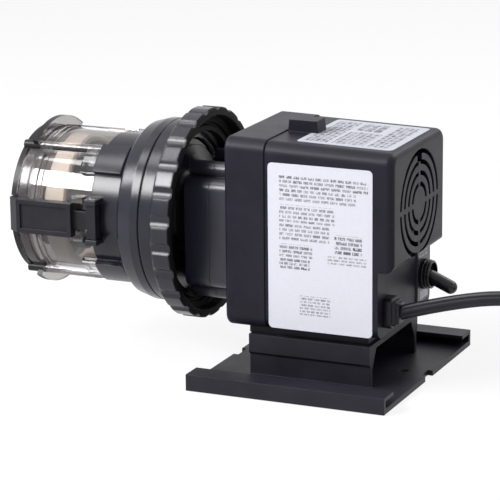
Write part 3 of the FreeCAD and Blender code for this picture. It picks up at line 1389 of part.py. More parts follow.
def make_plug():
    """Moulded plug at the end of the cord, with two blades and a round ground pin."""
    end = FreeCAD.Vector(*tail_points[-1])
    length, width, tall = value("plug_length"), value("plug_width"), value("plug_height")
    body = Part.makeBox(length, width, tall, FreeCAD.Vector(end.x - length, end.y - width / 2, end.z - tall / 2))
    long_edges = [edge for edge in body.Edges if edge.BoundBox.XLength > length / 2]
    shaped("plug_body", body.makeFillet(value("plug_edge_radius"), long_edges))
    reach, thickness = value("blade_length"), value("blade_thickness")
    front = end.x - length
    blades = []
    for side in (-1, 1):
        middle = end.y + side * value("blade_spacing") / 2
        blades.append(Part.makeBox(reach, thickness, value("blade_width"),
                                   FreeCAD.Vector(front - reach, middle - thickness / 2,
                                                  end.z - value("blade_drop"))))
    blades.append(Part.makeCylinder(value("ground_pin_radius"), reach + value("ground_pin_extra"),
                                    FreeCAD.Vector(front, end.y, end.z - value("ground_pin_drop")),
                                    FreeCAD.Vector(-1, 0, 0)))
    shaped("plug_blades", Part.makeCompound(blades))


make_bracket()
make_bracket_screws()
make_front_frame()
make_motor_shell()
make_motor()
make_gears()
make_gear_case()
make_main_shaft()
make_feed_housing()
make_dial_ring()
make_feed_internals()
make_tube_housing()
make_clear_cover()
make_pump_tube()
make_fittings()
make_rollers()
make_latches()
make_switch()
make_strain_relief()
bent_tube("power_cord", cord_points)
bent_tube("cord_tail", tail_points)
make_coil()
make_plug()
doc.recompute()

for item in doc.Objects:
    if "Invalid" in item.State or "Error" in item.State:
        raise RuntimeError(f"{item.Name} ({item.Label}) did not recompute: {item.State}")
for label, item in pieces.items():
    if item.Shape.isNull() or not item.Shape.isValid():
        raise RuntimeError(f"{label} has no valid shape")
os.makedirs("parts", exist_ok=True)
for label, item in pieces.items():
    item.Shape.exportStep(f"parts/{label}.step")
print(f"{len(pieces)} pieces")
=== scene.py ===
import bpy
import bmesh
import math
from mathutils import Matrix, Vector


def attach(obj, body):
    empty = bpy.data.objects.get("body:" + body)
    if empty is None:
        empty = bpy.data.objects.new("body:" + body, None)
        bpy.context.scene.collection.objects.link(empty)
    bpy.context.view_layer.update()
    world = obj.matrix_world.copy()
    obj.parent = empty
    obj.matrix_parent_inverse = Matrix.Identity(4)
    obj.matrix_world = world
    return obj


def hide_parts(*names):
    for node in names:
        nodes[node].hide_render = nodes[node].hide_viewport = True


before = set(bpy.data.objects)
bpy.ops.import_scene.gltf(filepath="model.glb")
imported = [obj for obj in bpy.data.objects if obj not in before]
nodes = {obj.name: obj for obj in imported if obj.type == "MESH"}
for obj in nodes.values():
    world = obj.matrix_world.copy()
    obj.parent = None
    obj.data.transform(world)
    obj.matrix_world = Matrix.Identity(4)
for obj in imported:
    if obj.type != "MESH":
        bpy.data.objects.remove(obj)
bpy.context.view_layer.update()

# Peristaltic dosing pump, dressed over its CAD frame, in metres.
# +X points to the motor's rear, and -Y is the labelled side.
sceneRef = bpy.context.scene
mm = 0.001
pumpAxis = (0.0, 84.0)  # y and z of the shaft's line, in millimetres
nearly = 0.9  # the part of a unit vector that has to lie along an axis to count as along it


# small helpers, the way one would click through them
def clearSelection():
    if bpy.context.object and bpy.context.object.mode != "OBJECT":
        bpy.ops.object.mode_set(mode="OBJECT")
    bpy.ops.object.select_all(action="DESELECT")


def pick(obj):
    clearSelection()
    obj.select_set(True)
    bpy.context.view_layer.objects.active = obj


def enterEdit(obj, selection):
    # edit mode, with all of the mesh selected or none of it
    pick(obj)
    bpy.ops.object.mode_set(mode="EDIT")
    bpy.ops.mesh.select_all(action=selection)


def leaveEdit():
    bpy.ops.object.mode_set(mode="OBJECT")


def selectFaces(obj, test):
    # edit mode, with only the faces that pass the test selected
    enterEdit(obj, "DESELECT")
    bpy.ops.mesh.select_mode(type="FACE")
    edit = bmesh.from_edit_mesh(obj.data)
    edit.normal_update()
    for face in edit.faces:
        face.select_set(test(face.calc_center_median(), face.normal))
    bmesh.update_edit_mesh(obj.data)


def roundCorners(obj, axis, radius):
    # round off a block's edges that run along one axis, which is 0, 1 or 2 for X, Y or Z
    enterEdit(obj, "DESELECT")
    bpy.ops.mesh.select_mode(type="EDGE")
    edit = bmesh.from_edit_mesh(obj.data)
    for edge in edit.edges:
        first, second = edge.verts
        edge.select_set(abs((second.co - first.co).normalized()[axis]) > nearly)
    bmesh.update_edit_mesh(obj.data)
    bpy.ops.mesh.bevel(offset=radius * mm, segments=5, affect="EDGES")
    leaveEdit()


def cleanMesh(obj, mergeGap=0.004):
    # weld points closer than the gap in millimetres, and turn all faces outwards
    enterEdit(obj, "SELECT")
    bpy.ops.mesh.remove_doubles(threshold=mergeGap * mm)
    bpy.ops.mesh.normals_make_consistent(inside=False)
    leaveEdit()


def addBlock(name, low, high):
    # a cube primitive stretched between two corners given in millimetres
    clearSelection()
    middle = [(a + b) / 2 * mm for a, b in zip(low, high)]
    bpy.ops.mesh.primitive_cube_add(size=1, location=middle)
    obj = bpy.context.object
    obj.name = name
    obj.scale = [(b - a) * mm for a, b in zip(low, high)]
    pick(obj)
    bpy.ops.object.transform_apply(location=True, rotation=True, scale=True)
    return obj


def softenEdges(obj, width, angle):
    # bevel every edge that turns by more than the angle
    bevel = obj.modifiers.new("edges", "BEVEL")
    bevel.width = width * mm
    bevel.segments = 2
    bevel.limit_method = "ANGLE"
    bevel.angle_limit = math.radians(angle)
    pick(obj)
    bpy.ops.object.modifier_apply(modifier=bevel.name)


def smoothen(obj, angle):
    pick(obj)
    bpy.ops.object.shade_smooth_by_angle(angle=math.radians(angle))


def lathe(name, profile, centre, steps):
    # a closed profile of (x, radius) pairs in millimetres, spun about a line along X
    clearSelection()
    bpy.ops.mesh.primitive_circle_add(vertices=len(profile), radius=10 * mm)
    obj = bpy.context.object
    obj.name = name
    for vertex, (along, radius) in zip(obj.data.vertices, profile):
        vertex.co = (along * mm, centre[0] * mm, (centre[1] + radius) * mm)
    enterEdit(obj, "SELECT")
    middle = (0, centre[0] * mm, centre[1] * mm)
    bpy.ops.mesh.spin(steps=steps, angle=math.tau, center=middle, axis=(1, 0, 0))
    leaveEdit()
    cleanMesh(obj)
    return obj


def finishPiece(obj, body, material, replaced=()):
    obj.data.materials.clear()
    obj.data.materials.append(material)
    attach(obj, body)
    if replaced:
        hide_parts(*replaced)


# node trees, with short ways to add and wire their nodes
class Nodes:
    def __init__(self, owner, outputKind="ShaderNodeOutputMaterial"):
        self.owner = owner
        owner.use_nodes = True
        self.tree = owner.node_tree
        self.tree.nodes.clear()
        self.out = self.tree.nodes.new(outputKind)

    def add(self, kind, settings=None, **inputs):
        # inputs are named like the sockets, with _ for a space
        node = self.tree.nodes.new(kind)
        for key, setting in (settings or {}).items():
            setattr(node, key, setting)
        for key, entry in inputs.items():
            self.feed(node, key.replace("_", " "), entry)
        return node

    def feed(self, node, socket, entry):
        # another node's output is wired, and anything else is typed in
        target = node.inputs[socket]
        if isinstance(entry, bpy.types.NodeSocket):
            self.tree.links.new(entry, target)
        else:
            target.default_value = entry

    def calc(self, operation, first, second=0.0):
        node = self.add("ShaderNodeMath", {"operation": operation})
        self.feed(node, 0, first)
        self.feed(node, 1, second)
        return node.outputs[0]

    def coordinates(self, kind="Object"):
        return self.add("ShaderNodeTexCoord").outputs[kind]

    def part(self, vector, letter):
        return self.add("ShaderNodeSeparateXYZ", Vector=vector).outputs[letter]

    def fromAxis(self, place, centre):
        # how far a point lies from a line along X through centre = (y, z), both in millimetres
        across = self.calc("SUBTRACT", self.part(place, "Y"), centre[0] * mm)
        up = self.calc("SUBTRACT", self.part(place, "Z"), centre[1] * mm)
        squares = self.calc("ADD", self.calc("MULTIPLY", across, across), self.calc("MULTIPLY", up, up))
        return self.calc("SQRT", squares)

    def ranged(self, entry, source=(0.0, 1.0), target=(0.0, 1.0)):
        # the source range drawn out or squeezed to the target range
        node = self.add("ShaderNodeMapRange", Value=entry, From_Min=source[0], From_Max=source[1],
                        To_Min=target[0], To_Max=target[1])
        return node.outputs[0]

    def between(self, entry, limits):
        # 0 up to the first limit and 1 from the second, in millimetres
        return self.ranged(entry, (limits[0] * mm, limits[1] * mm))

    def inside(self, entry, limits):
        # 1 from one limit to the other, in millimetres, and 0 beyond them
        above = self.calc("GREATER_THAN", entry, limits[0] * mm)
        below = self.calc("LESS_THAN", entry, limits[1] * mm)
        return self.calc("MULTIPLY", above, below)

    def noise(self, place, scale, detail, roughness=0.5):
        node = self.add("ShaderNodeTexNoise", Vector=place, Scale=scale, Detail=detail, Roughness=roughness)
        return node.outputs["Fac"]

    def bump(self, height, strength, distance, **inputs):
        node = self.add("ShaderNodeBump", Height=height, Strength=strength, Distance=distance * mm,
                        **inputs)
        return node.outputs[0]

    def mixColour(self, factor, first, second):
        node = self.add("ShaderNodeMix", {"data_type": "RGBA"})
        self.feed(node, 0, factor)
        self.feed(node, 6, first)
        self.feed(node, 7, second)
        return node.outputs[2]

    def mixShader(self, factor, first, second):
        node = self.add("ShaderNodeMixShader")
        for socket, entry in enumerate((factor, first, second)):
            self.feed(node, socket, entry)
        return node.outputs[0]

    def surface(self, **inputs):
        return self.add("ShaderNodeBsdfPrincipled", **inputs).outputs[0]

    def show(self, shader):
        # wire the last shader to the output, and hand back the finished material or world
        self.feed(self.out, "Surface", shader)
        return self.owner


def newMaterial(name):
    return Nodes(bpy.data.materials.new(name))


def rgba(colour):
    return (*colour, 1.0)


white = (1, 1, 1, 1)


# materials: moulded plastics, metals, the clear cover, printed labels, the squeeze tube
# painted shade for hollows: a near-black, barely shiny surface laid where the shade falls
paintedHollowShade = {"colour": (0.004, 0.004, 0.005), "rough": 0.6, "specular": 0.1, "rearward": 0.6}


def paintedShadeArea(tree, place, look):
    # painted shade: a ring's bore and rear face, or all that lies behind a plane across X, where the hollow
    # lies in shade
    if "bore" in look:
        bore = tree.between(tree.fromAxis(place, pumpAxis), look["bore"])
        facing = tree.part(tree.coordinates("Normal"), "X")
        return tree.calc("MAXIMUM", bore, tree.calc("GREATER_THAN", facing, paintedHollowShade["rearward"]))
    return tree.calc("GREATER_THAN", tree.part(place, "X"), look["behind"] * mm)


def mouldedPlastic(name, look):
    # dark and light tone mottled together, fine mould grain, rounded edges catching the light, and painted
    # shade laid on a hollow where the look marks one
    tree = newMaterial(name)
    place = tree.coordinates()
    cloud = tree.noise(place, look["mottle"], 4.0, 0.6)
    grain = tree.noise(place, look["grain"], 3.0, 0.55)
    colour = tree.mixColour(tree.ranged(cloud, (0.3, 0.7)), rgba(look["dark"]), rgba(look["light"]))
    gloss = tree.ranged(cloud, (0.25, 0.75), look["rough"])
    edge = tree.add("ShaderNodeBevel", {"samples": 4}, Radius=look["edge"] * mm)
    bump = tree.bump(grain, look["bump"], 0.2, Normal=edge.outputs[0])
    shader = tree.surface(Base_Color=colour, Roughness=gloss, Normal=bump,
                          Specular_IOR_Level=look.get("specular", 0.5))
    if "bore" in look or "behind" in look:
        # the hollow's painted shade, mixed in over the shiny plastic
        paintedShade = tree.surface(Base_Color=rgba(paintedHollowShade["colour"]), Roughness=paintedHollowShade["rough"],
                            Normal=bump, Specular_IOR_Level=paintedHollowShade["specular"])
        shader = tree.mixShader(paintedShadeArea(tree, place, look), shader, paintedShade)
    return tree.show(shader)


def metalFinish(name, look):
    # streaks drawn out by the stretch, as rolling and turning leave them, or stacked sheets
    tree = newMaterial(name)
    stretched = tree.add("ShaderNodeMapping", Vector=tree.coordinates(), Scale=look["stretch"])
    streak = tree.noise(stretched.outputs[0], look["streak"], 5.0, 0.6)
    colour = tree.mixColour(streak, rgba(look["dark"]), rgba(look["light"]))
    gloss = tree.ranged(streak, (0.3, 0.7), look["rough"])
    bump = tree.bump(streak, look["bump"], 0.1)
    return tree.show(tree.surface(Base_Color=colour, Roughness=gloss, Normal=bump, Metallic=1.0))


def smokedClear(name, look):
    # tinted clear plastic; shadow rays pass, so that what is inside is lit
    tree = newMaterial(name)
    place = tree.coordinates()
    flow = tree.noise(place, look["flow"], 3.0)
    colour = tree.mixColour(flow, rgba(look["dark"]), rgba(look["light"]))
    # darker where seen aslant: partly the longer path through the smoke, partly painted shade that darkens
    # the cover near its outline
    slant = tree.add("ShaderNodeLayerWeight", Blend=look["slant"]).outputs["Facing"]
    colour = tree.mixColour(slant, colour, rgba(look["deep"]))
    # rods behind the tabs get a near-white tint: a painted highlight standing in for the glare of a clear
    # rod
    reach = tree.fromAxis(place, pumpAxis)
    behind = tree.between(tree.part(place, "X"), look["tabRear"])
    rods = tree.calc("MULTIPLY", tree.between(reach, look["rods"]), behind)
    colour = tree.mixColour(rods, colour, rgba(look["rodPaintedGlare"]))
    # painted shade: the cut rims of the disc and tabs, and faintly the front wall, get a dark opaque
    # surface mixed in for the dark outline that clear plastic shows
    lengthwise = tree.calc("ABSOLUTE", tree.part(tree.coordinates("Normal"), "X"))
    sideways = tree.calc("LESS_THAN", lengthwise, look["sideways"])
    front = tree.calc("MULTIPLY", sideways, tree.calc("SUBTRACT", 1.0, behind))
    rim = tree.calc("MULTIPLY", tree.between(reach, look["rim"]), front)
    colour = tree.mixColour(rim, colour, rgba(look["rimTone"]))
    gloss = tree.ranged(flow, (0.3, 0.7), look["rough"])
    gloss = tree.calc("ADD", gloss, tree.calc("MULTIPLY", front, look["frontRough"]))
    clear = tree.surface(Base_Color=colour, Roughness=gloss, Normal=tree.bump(flow, look["bump"], 0.4),
                         Transmission_Weight=1.0, IOR=look["ior"])
    # the dark opaque surface that paints the rim shade
    paintedRimShade = tree.surface(Base_Color=rgba(look["rimTone"]), Roughness=look["rimRough"],
                       Specular_IOR_Level=look["rimSpecular"])
    darkness = tree.calc("MAXIMUM", tree.calc("MULTIPLY", rim, look["rimDark"]),
                         tree.calc("MULTIPLY", front, look["frontDark"]))
    edged = tree.mixShader(darkness, clear, paintedRimShade)
    passed = tree.add("ShaderNodeBsdfTransparent", Color=rgba(look["shadow"])).outputs[0]
    shadowRay = tree.add("ShaderNodeLightPath").outputs["Is Shadow Ray"]
    return tree.show(tree.mixShader(shadowRay, edged, passed))


def printedLabel(name, look):
    # label stock with rows of plain bars, laid out in the label's own plane
    tree = newMaterial(name)
    place = tree.coordinates()
    across, up = (tree.part(place, letter) for letter in look["axes"])
    flat = tree.add("ShaderNodeCombineXYZ", X=across, Y=up).outputs[0]
    stretched = tree.add("ShaderNodeMapping", Vector=flat, Scale=(1.0, 0.45, 1.0))
    broken = tree.ranged(tree.noise(stretched.outputs[0], look["speck"], 1.0), (0.36, 0.46))
    inked = 0.0
    for area in look["areas"]:
        # bars like rows of bricks, white where there is ink, within the area's limits
        rows = tree.add("ShaderNodeTexBrick", {"offset": 0.37, "squash": 0.7, "squash_frequency": 3},
                        Vector=flat, Scale=1.0, Color1=white, Color2=(0.6, 0.6, 0.6, 1),
                        Mortar=(0, 0, 0, 1), Mortar_Size=area["gap"] * mm, Mortar_Smooth=0.1,
                        Brick_Width=area["word"] * mm, Row_Height=area["row"] * mm)
        within = tree.calc("MULTIPLY", tree.inside(across, area["x"]), tree.inside(up, area["z"]))
        shade = tree.calc("MULTIPLY", tree.calc("MULTIPLY", rows.outputs["Color"], within), area["ink"])
        if area.get("broken", True):
            shade = tree.calc("MULTIPLY", shade, broken)
        inked = tree.calc("MAXIMUM", inked, shade)
    fibre = tree.noise(place, look["fibre"], 3.0)
    paper = tree.mixColour(fibre, rgba(look["dark"]), rgba(look["light"]))
    colour = tree.mixColour(inked, paper, rgba(look["inkColour"]))
    gloss = tree.ranged(fibre, target=look["rough"])
    return tree.show(tree.surface(Base_Color=colour, Roughness=gloss, Normal=tree.bump(fibre, 0.05, 0.1)))


def softTube(name, look):
    # milky tube that lets some light through
    tree = newMaterial(name)
    cloud = tree.noise(tree.coordinates(), look["mottle"], 4.0)
    colour = tree.mixColour(cloud, rgba(look["dark"]), rgba(look["light"]))
    gloss = tree.ranged(cloud, target=look["rough"])
    bump = tree.bump(cloud, look["bump"], 0.3)
    return tree.show(tree.surface(Base_Color=colour, Roughness=gloss, Normal=bump,
                                  Subsurface_Weight=look["glow"], Subsurface_Radius=look["glowDepth"]))


housingBlack = mouldedPlastic("housingBlack", {
    "dark": (0.0078, 0.0073, 0.0125), "light": (0.0118, 0.0111, 0.0188), "mottle": 55, "grain": 2600,
    "rough": (0.34, 0.44), "bump": 0.3, "edge": 0.7, "specular": 0.15})
# behind and bore mark where the painted hollow shade is laid on
headBlack = mouldedPlastic("headBlack", {
    "dark": (0.008, 0.008, 0.014), "light": (0.013, 0.0125, 0.021), "mottle": 70, "grain": 3200,
    "rough": (0.15, 0.21), "bump": 0.14, "edge": 0.9, "specular": 0.36, "behind": -84.3})
# painted light: a lighter copy of the black plastic, since the gear case lies in the dial ring's shade
caseBlack = mouldedPlastic("caseBlack", {
    "dark": (0.0205, 0.0198, 0.034), "light": (0.0215, 0.0207, 0.036), "mottle": 35, "grain": 2800,
    "rough": (0.275, 0.29), "bump": 0.16, "edge": 0.8})
ringBlack = mouldedPlastic("ringBlack", {
    "dark": (0.008, 0.008, 0.014), "light": (0.013, 0.0125, 0.021), "mottle": 70, "grain": 3200,
    "rough": (0.15, 0.21), "bump": 0.14, "edge": 2.0, "specular": 0.42, "bore": (56.8, 56.4)})
latchBlack = mouldedPlastic("latchBlack", {
    "dark": (0.009, 0.0085, 0.0115), "light": (0.014, 0.013, 0.0175), "mottle": 90, "grain": 3000,
    "rough": (0.4, 0.5), "bump": 0.25, "edge": 0.5, "specular": 0.2})
bracketBlack = mouldedPlastic("bracketBlack", {
    "dark": (0.0095, 0.009, 0.0138), "light": (0.0145, 0.0138, 0.0208), "mottle": 45, "grain": 2200,
    "rough": (0.38, 0.48), "bump": 0.3, "edge": 0.5, "specular": 0.2})
switchRubber = mouldedPlastic("switchRubber", {
    "dark": (0.004, 0.004, 0.005), "light": (0.007, 0.007, 0.009), "mottle": 90, "grain": 3500,
    "rough": (0.22, 0.3), "bump": 0.1, "edge": 0.4, "specular": 0.35})
cordRubber = mouldedPlastic("cordRubber", {
    "dark": (0.006, 0.006, 0.009), "light": (0.011, 0.011, 0.015), "mottle": 80, "grain": 2600,
    "rough": (0.34, 0.44), "bump": 0.2, "edge": 0.5, "specular": 0.25})
gearNylon = mouldedPlastic("gearNylon", {
    "dark": (0.62, 0.6, 0.54), "light": (0.74, 0.72, 0.66), "mottle": 60, "grain": 1800,
    "rough": (0.4, 0.5), "bump": 0.15, "edge": 0.2})
rollerGrey = mouldedPlastic("rollerGrey", {
    "dark": (0.014, 0.012, 0.011), "light": (0.024, 0.021, 0.019), "mottle": 60, "grain": 1800,
    "rough": (0.4, 0.5), "bump": 0.15, "edge": 0.4})
fittingWhite = mouldedPlastic("fittingWhite", {
    "dark": (0.5, 0.5, 0.48), "light": (0.62, 0.62, 0.6), "mottle": 60, "grain": 1800,
    "rough": (0.35, 0.45), "bump": 0.15, "edge": 0.3})
windingAmber = mouldedPlastic("windingAmber", {
    "dark": (0.28, 0.1, 0.02), "light": (0.42, 0.17, 0.04), "mottle": 500, "grain": 900,
    "rough": (0.35, 0.5), "bump": 0.6, "edge": 0.3})
steelBright = metalFinish("steelBright", {
    "dark": (0.5, 0.5, 0.51), "light": (0.66, 0.66, 0.68), "streak": 90.0, "stretch": (0.2, 3.0, 3.0),
    "rough": (0.22, 0.36), "bump": 0.15})
strapSteel = metalFinish("strapSteel", {
    "dark": (0.34, 0.34, 0.35), "light": (0.5, 0.5, 0.5), "streak": 70.0, "stretch": (3.0, 0.3, 3.0),
    "rough": (0.35, 0.5), "bump": 0.2})
lamination = metalFinish("lamination", {
    "dark": (0.12, 0.12, 0.13), "light": (0.3, 0.3, 0.31), "streak": 60.0, "stretch": (40.0, 0.6, 0.6),
    "rough": (0.4, 0.6), "bump": 0.7})
bronzeBush = metalFinish("bronzeBush", {
    "dark": (0.36, 0.2, 0.08), "light": (0.5, 0.3, 0.13), "streak": 120.0, "stretch": (1.0, 1.0, 1.0),
    "rough": (0.35, 0.5), "bump": 0.2})
brassBlade = metalFinish("brassBlade", {
    "dark": (0.55, 0.4, 0.16), "light": (0.7, 0.54, 0.25), "streak": 80.0, "stretch": (3.0, 0.3, 3.0),
    "rough": (0.2, 0.32), "bump": 0.1})
# dark legend plate behind the switch, with a pale bar at its foot and plain pale marks at its head
legendPlate = printedLabel("legendPlate", {
    "axes": ("Y", "Z"), "dark": (0.03, 0.028, 0.036), "light": (0.045, 0.042, 0.052), "fibre": 700.0,
    "speck": 1300.0, "inkColour": (0.5, 0.48, 0.54), "rough": (0.3, 0.42),
    "areas": [{"x": (21, 35), "z": (62.2, 67.0), "word": 4.5, "row": 2.4, "gap": 0.4, "ink": 0.75},
              {"x": (23, 35.4), "z": (38.4, 43.2), "word": 40.0, "row": 40.0, "gap": 0.01, "ink": 0.8,
               "broken": False}]})
# smoke darker where it is seen aslant, partly the longer path through it and partly painted shade; the pale
# rods are a painted highlight and the dark rim painted shade; rods and rim are radii, tabRear is along X,
# each where a tone fades in
coverClear = smokedClear("coverClear", {
    "dark": (0.46, 0.44, 0.44), "light": (0.56, 0.54, 0.54), "flow": 40.0, "slant": 0.35,
    "deep": (0.12, 0.108, 0.104), "tabRear": (-169.8, -169.6), "rods": (42.1, 42.4),
    "rodPaintedGlare": (0.86, 0.86, 0.9), "sideways": 0.5, "rim": (42.9, 43.1), "rimTone": (0.012, 0.011, 0.013),
    "rimRough": 0.4, "rimSpecular": 0.15, "rimDark": 0.9, "frontDark": 0.3, "frontRough": 0.14,
    "rough": (0.015, 0.05), "bump": 0.1, "ior": 1.58, "shadow": (0.78, 0.77, 0.77)})
tubeBeige = softTube("tubeBeige", {
    "dark": (0.72, 0.63, 0.52), "light": (0.82, 0.74, 0.64), "mottle": 60.0, "rough": (0.35, 0.55),
    "bump": 0.1, "glow": 0.25, "glowDepth": (0.004, 0.003, 0.002)})

# the finish of every CAD node
nodeFinish = {
    housingBlack: ["front_frame", "motor_shell"],
    caseBlack: ["gear_case_rear", "gear_case_front"],
    ringBlack: ["dial_ring"],
    headBlack: ["feed_rate_housing", "head_plate", "tube_housing"],
    latchBlack: ["near_latch", "far_latch"],
    bracketBlack: ["mounting_bracket"],
    coverClear: ["clear_cover"],
    tubeBeige: ["pump_tube"],
    switchRubber: ["toggle_switch_body", "toggle_boot", "toggle_lever"],
    cordRubber: ["strain_relief", "power_cord", "cord_tail", "cord_coil", "plug_body"],
    gearNylon: ["first_reduction_gear", "second_reduction_gear", "output_gear", "cooling_fan",
                "index_plate", "lifter", "variable_cam", "fixed_cam"],
    rollerGrey: ["roller_1", "roller_2", "roller_3", "roller_spider"],
    fittingWhite: ["discharge_fitting", "discharge_nut", "suction_fitting", "suction_nut"],
    windingAmber: ["motor_coil"],
    strapSteel: ["front_bearing_strap", "rear_bearing_strap"],
    lamination: ["stator_laminations", "rotor"],
    bronzeBush: ["front_motor_bearing", "rear_motor_bearing", "gear_case_bushing", "head_bushing",
                 "cover_bushing"],
    brassBlade: ["plug_blades"],
    legendPlate: ["switch_plate"],
    steelBright: ["motor_bolts", "motor_shaft", "motor_pinion", "gear_pins", "gear_case_screws",
                  "bracket_screws", "main_shaft", "index_pin", "roller_axles", "near_latch_pin",
                  "far_latch_pin"],
}
dressed = set()
for material, names in nodeFinish.items():
    for name in names:
        for place in nodes[name].material_slots:
            place.material = material
        dressed.add(name)
print("bare nodes:", sorted(set(nodes) - dressed))

# camera, at the photograph's viewpoint
cameraLook = {"place": (0.5153, -1.2706, 0.4267), "azimuth": 23.991, "elevation": 14.620, "roll": -0.594,
              "lens": 181.77, "sensor": 36.0, "nearest": 0.05, "farthest": 20.0}
cameraData = bpy.data.cameras.new("mainCamera")
cameraData.lens = cameraLook["lens"]
cameraData.sensor_width = cameraLook["sensor"]
cameraData.clip_start = cameraLook["nearest"]
cameraData.clip_end = cameraLook["farthest"]
camera = bpy.data.objects.new("mainCamera", cameraData)
sceneRef.collection.objects.link(camera)
azimuth, elevation, roll = (math.radians(cameraLook[key]) for key in ("azimuth", "elevation", "roll"))
backward = Vector((math.sin(azimuth) * math.cos(elevation), -math.cos(azimuth) * math.cos(elevation),
                   math.sin(elevation)))
level = Vector((math.cos(azimuth), math.sin(azimuth), 0.0))
upward = backward.cross(level)
rightward = level * math.cos(roll) + upward * math.sin(roll)
topward = upward * math.cos(roll) - level * math.sin(roll)
turn = Matrix((rightward, topward, backward)).transposed().to_4x4()
camera.matrix_world = Matrix.Translation(Vector(cameraLook["place"])) @ turn
sceneRef.camera = camera
print("camera placed")

# power cord: the lead in view, the coil of its spare length, and the tail to the plug
cordLook = {"width": 8.0, "length": 1.83, "coilCentre": (205.0, 14.0), "inner": 42.4, "outer": 52.4,
            "layers": (20.7, 12.4, 4.1), "startAngle": -114.6, "turning": 1940.2, "step": 15.0,
            "firstPoint": 20.0, "leftOver": 28.0, "shift": 70.0, "stagger": 35.0, "firstShift": 140.2,
            "sectionPoints": 30, "thickness": 4.8, "boxiness": 0.6, "groove": 0.24, "groovePlace": 1.35,
            "grooveWidth": 0.42, "smooth": 60}
leadRoute = [(51.5, -27.5, 45.0), (74.0, -27.5, 52.3), (108.0, -28.0, 60.0), (125.5, -27.6, 58.6),
             (142.0, -27.3, 50.6), (154.5, -27.8, 37.3), (168.0, -29.6, 26.6), (184.5, -33.4, 21.6)]
tailRoute = [(253.0, 37.0, 4.2), (247.5, 49.8, 4.6), (236.2, 70.0, 6.8), (223.6, 81.6, 9.0),
             (206.6, 87.0, 10.0), (188.0, 87.0, 10.0)]


def coilPoint(passed):
    # where the wound cord is after so many degrees. Each turn has its own lane, inner or outer in one of
    # three layers, and changes over to the next where the turns above and below leave room
    top, middle, bottom = cordLook["layers"]
    inner, outer = cordLook["inner"], cordLook["outer"]
    lanes = [(outer, top), (inner, top), (inner, middle), (outer, middle), (inner, bottom), (outer, bottom)]
    fullTurn = 360
    lane = int(passed // fullTurn)
    start = cordLook["firstShift"] + cordLook["stagger"] * (len(lanes) - 2 - lane)
    share = min(max((passed - fullTurn * lane - start) / cordLook["shift"], 0.0), 1.0)
    share = share * share * (3 - 2 * share)
    here, there = lanes[lane], lanes[min(lane + 1, len(lanes) - 1)]
    radius = here[0] + (there[0] - here[0]) * share
    height = here[1] + (there[1] - here[1]) * share
    angle = math.radians(cordLook["startAngle"] + passed)
    return (cordLook["coilCentre"][0] + radius * math.cos(angle),
            cordLook["coilCentre"][1] + radius * math.sin(angle), height)


def splineCurve(name, points, cyclic=False):
    # one NURBS spline through the given control points, millimetres to metres
    curve = bpy.data.curves.new(name, "CURVE")
    curve.dimensions = "3D"
    spline = curve.splines.new("NURBS")
    spline.points.add(len(points) - 1)
    for point, spot in zip(spline.points, points):
        point.co = (*(value * mm for value in spot), 1.0)
    spline.order_u = 3
    spline.use_endpoint_u = not cyclic
    spline.use_cyclic_u = cyclic
    curve.resolution_u = 5
    obj = bpy.data.objects.new(name, curve)
    sceneRef.collection.objects.link(obj)
    return obj


def cordSection():
    # three conductors side by side under one jacket, with a groove between each two, on both faces
    points = []
    for step in range(cordLook["sectionPoints"]):
        angle = math.tau * step / cordLook["sectionPoints"]
        up = cordLook["width"] / 2 * math.sin(angle)
        bulge = math.copysign(abs(math.cos(angle)) ** cordLook["boxiness"], math.cos(angle))
        side = cordLook["thickness"] / 2 * bulge
        dip = math.exp(-((abs(up) - cordLook["groovePlace"]) / cordLook["grooveWidth"]) ** 2)
        points.append((side * (1 - cordLook["groove"] * dip), up, 0.0))
    return points


coilSteps = int((cordLook["turning"] - cordLook["leftOver"]) // cordLook["step"]) + 1
coilRoute = [coilPoint(cordLook["firstPoint"] + cordLook["step"] * step) for step in range(coilSteps)]
powerLead = splineCurve("powerLead", leadRoute + coilRoute + tailRoute)
pathMesh = bpy.data.meshes.new_from_object(powerLead)
cordPath = [tuple(vertex.co) for vertex in pathMesh.vertices]
jacket = splineCurve("jacketSection", cordSection(), cyclic=True)
powerLead.data.bevel_mode = "OBJECT"
powerLead.data.bevel_object = jacket
powerLead.data.twist_mode = "Z_UP"
powerLead.data.use_fill_caps = True
pick(powerLead)
bpy.ops.object.convert(target="MESH")
powerLead = bpy.context.object
bpy.data.objects.remove(jacket)
smoothen(powerLead, cordLook["smooth"])
cordLine = sum(math.dist(first, second) for first, second in zip(cordPath, cordPath[1:]))
print("cord length", round(cordLine, 4), "points", len(cordPath), "vertices", len(powerLead.data.vertices))
finishPiece(powerLead, "pump_body", cordRubber, ("power_cord", "cord_tail", "cord_coil"))

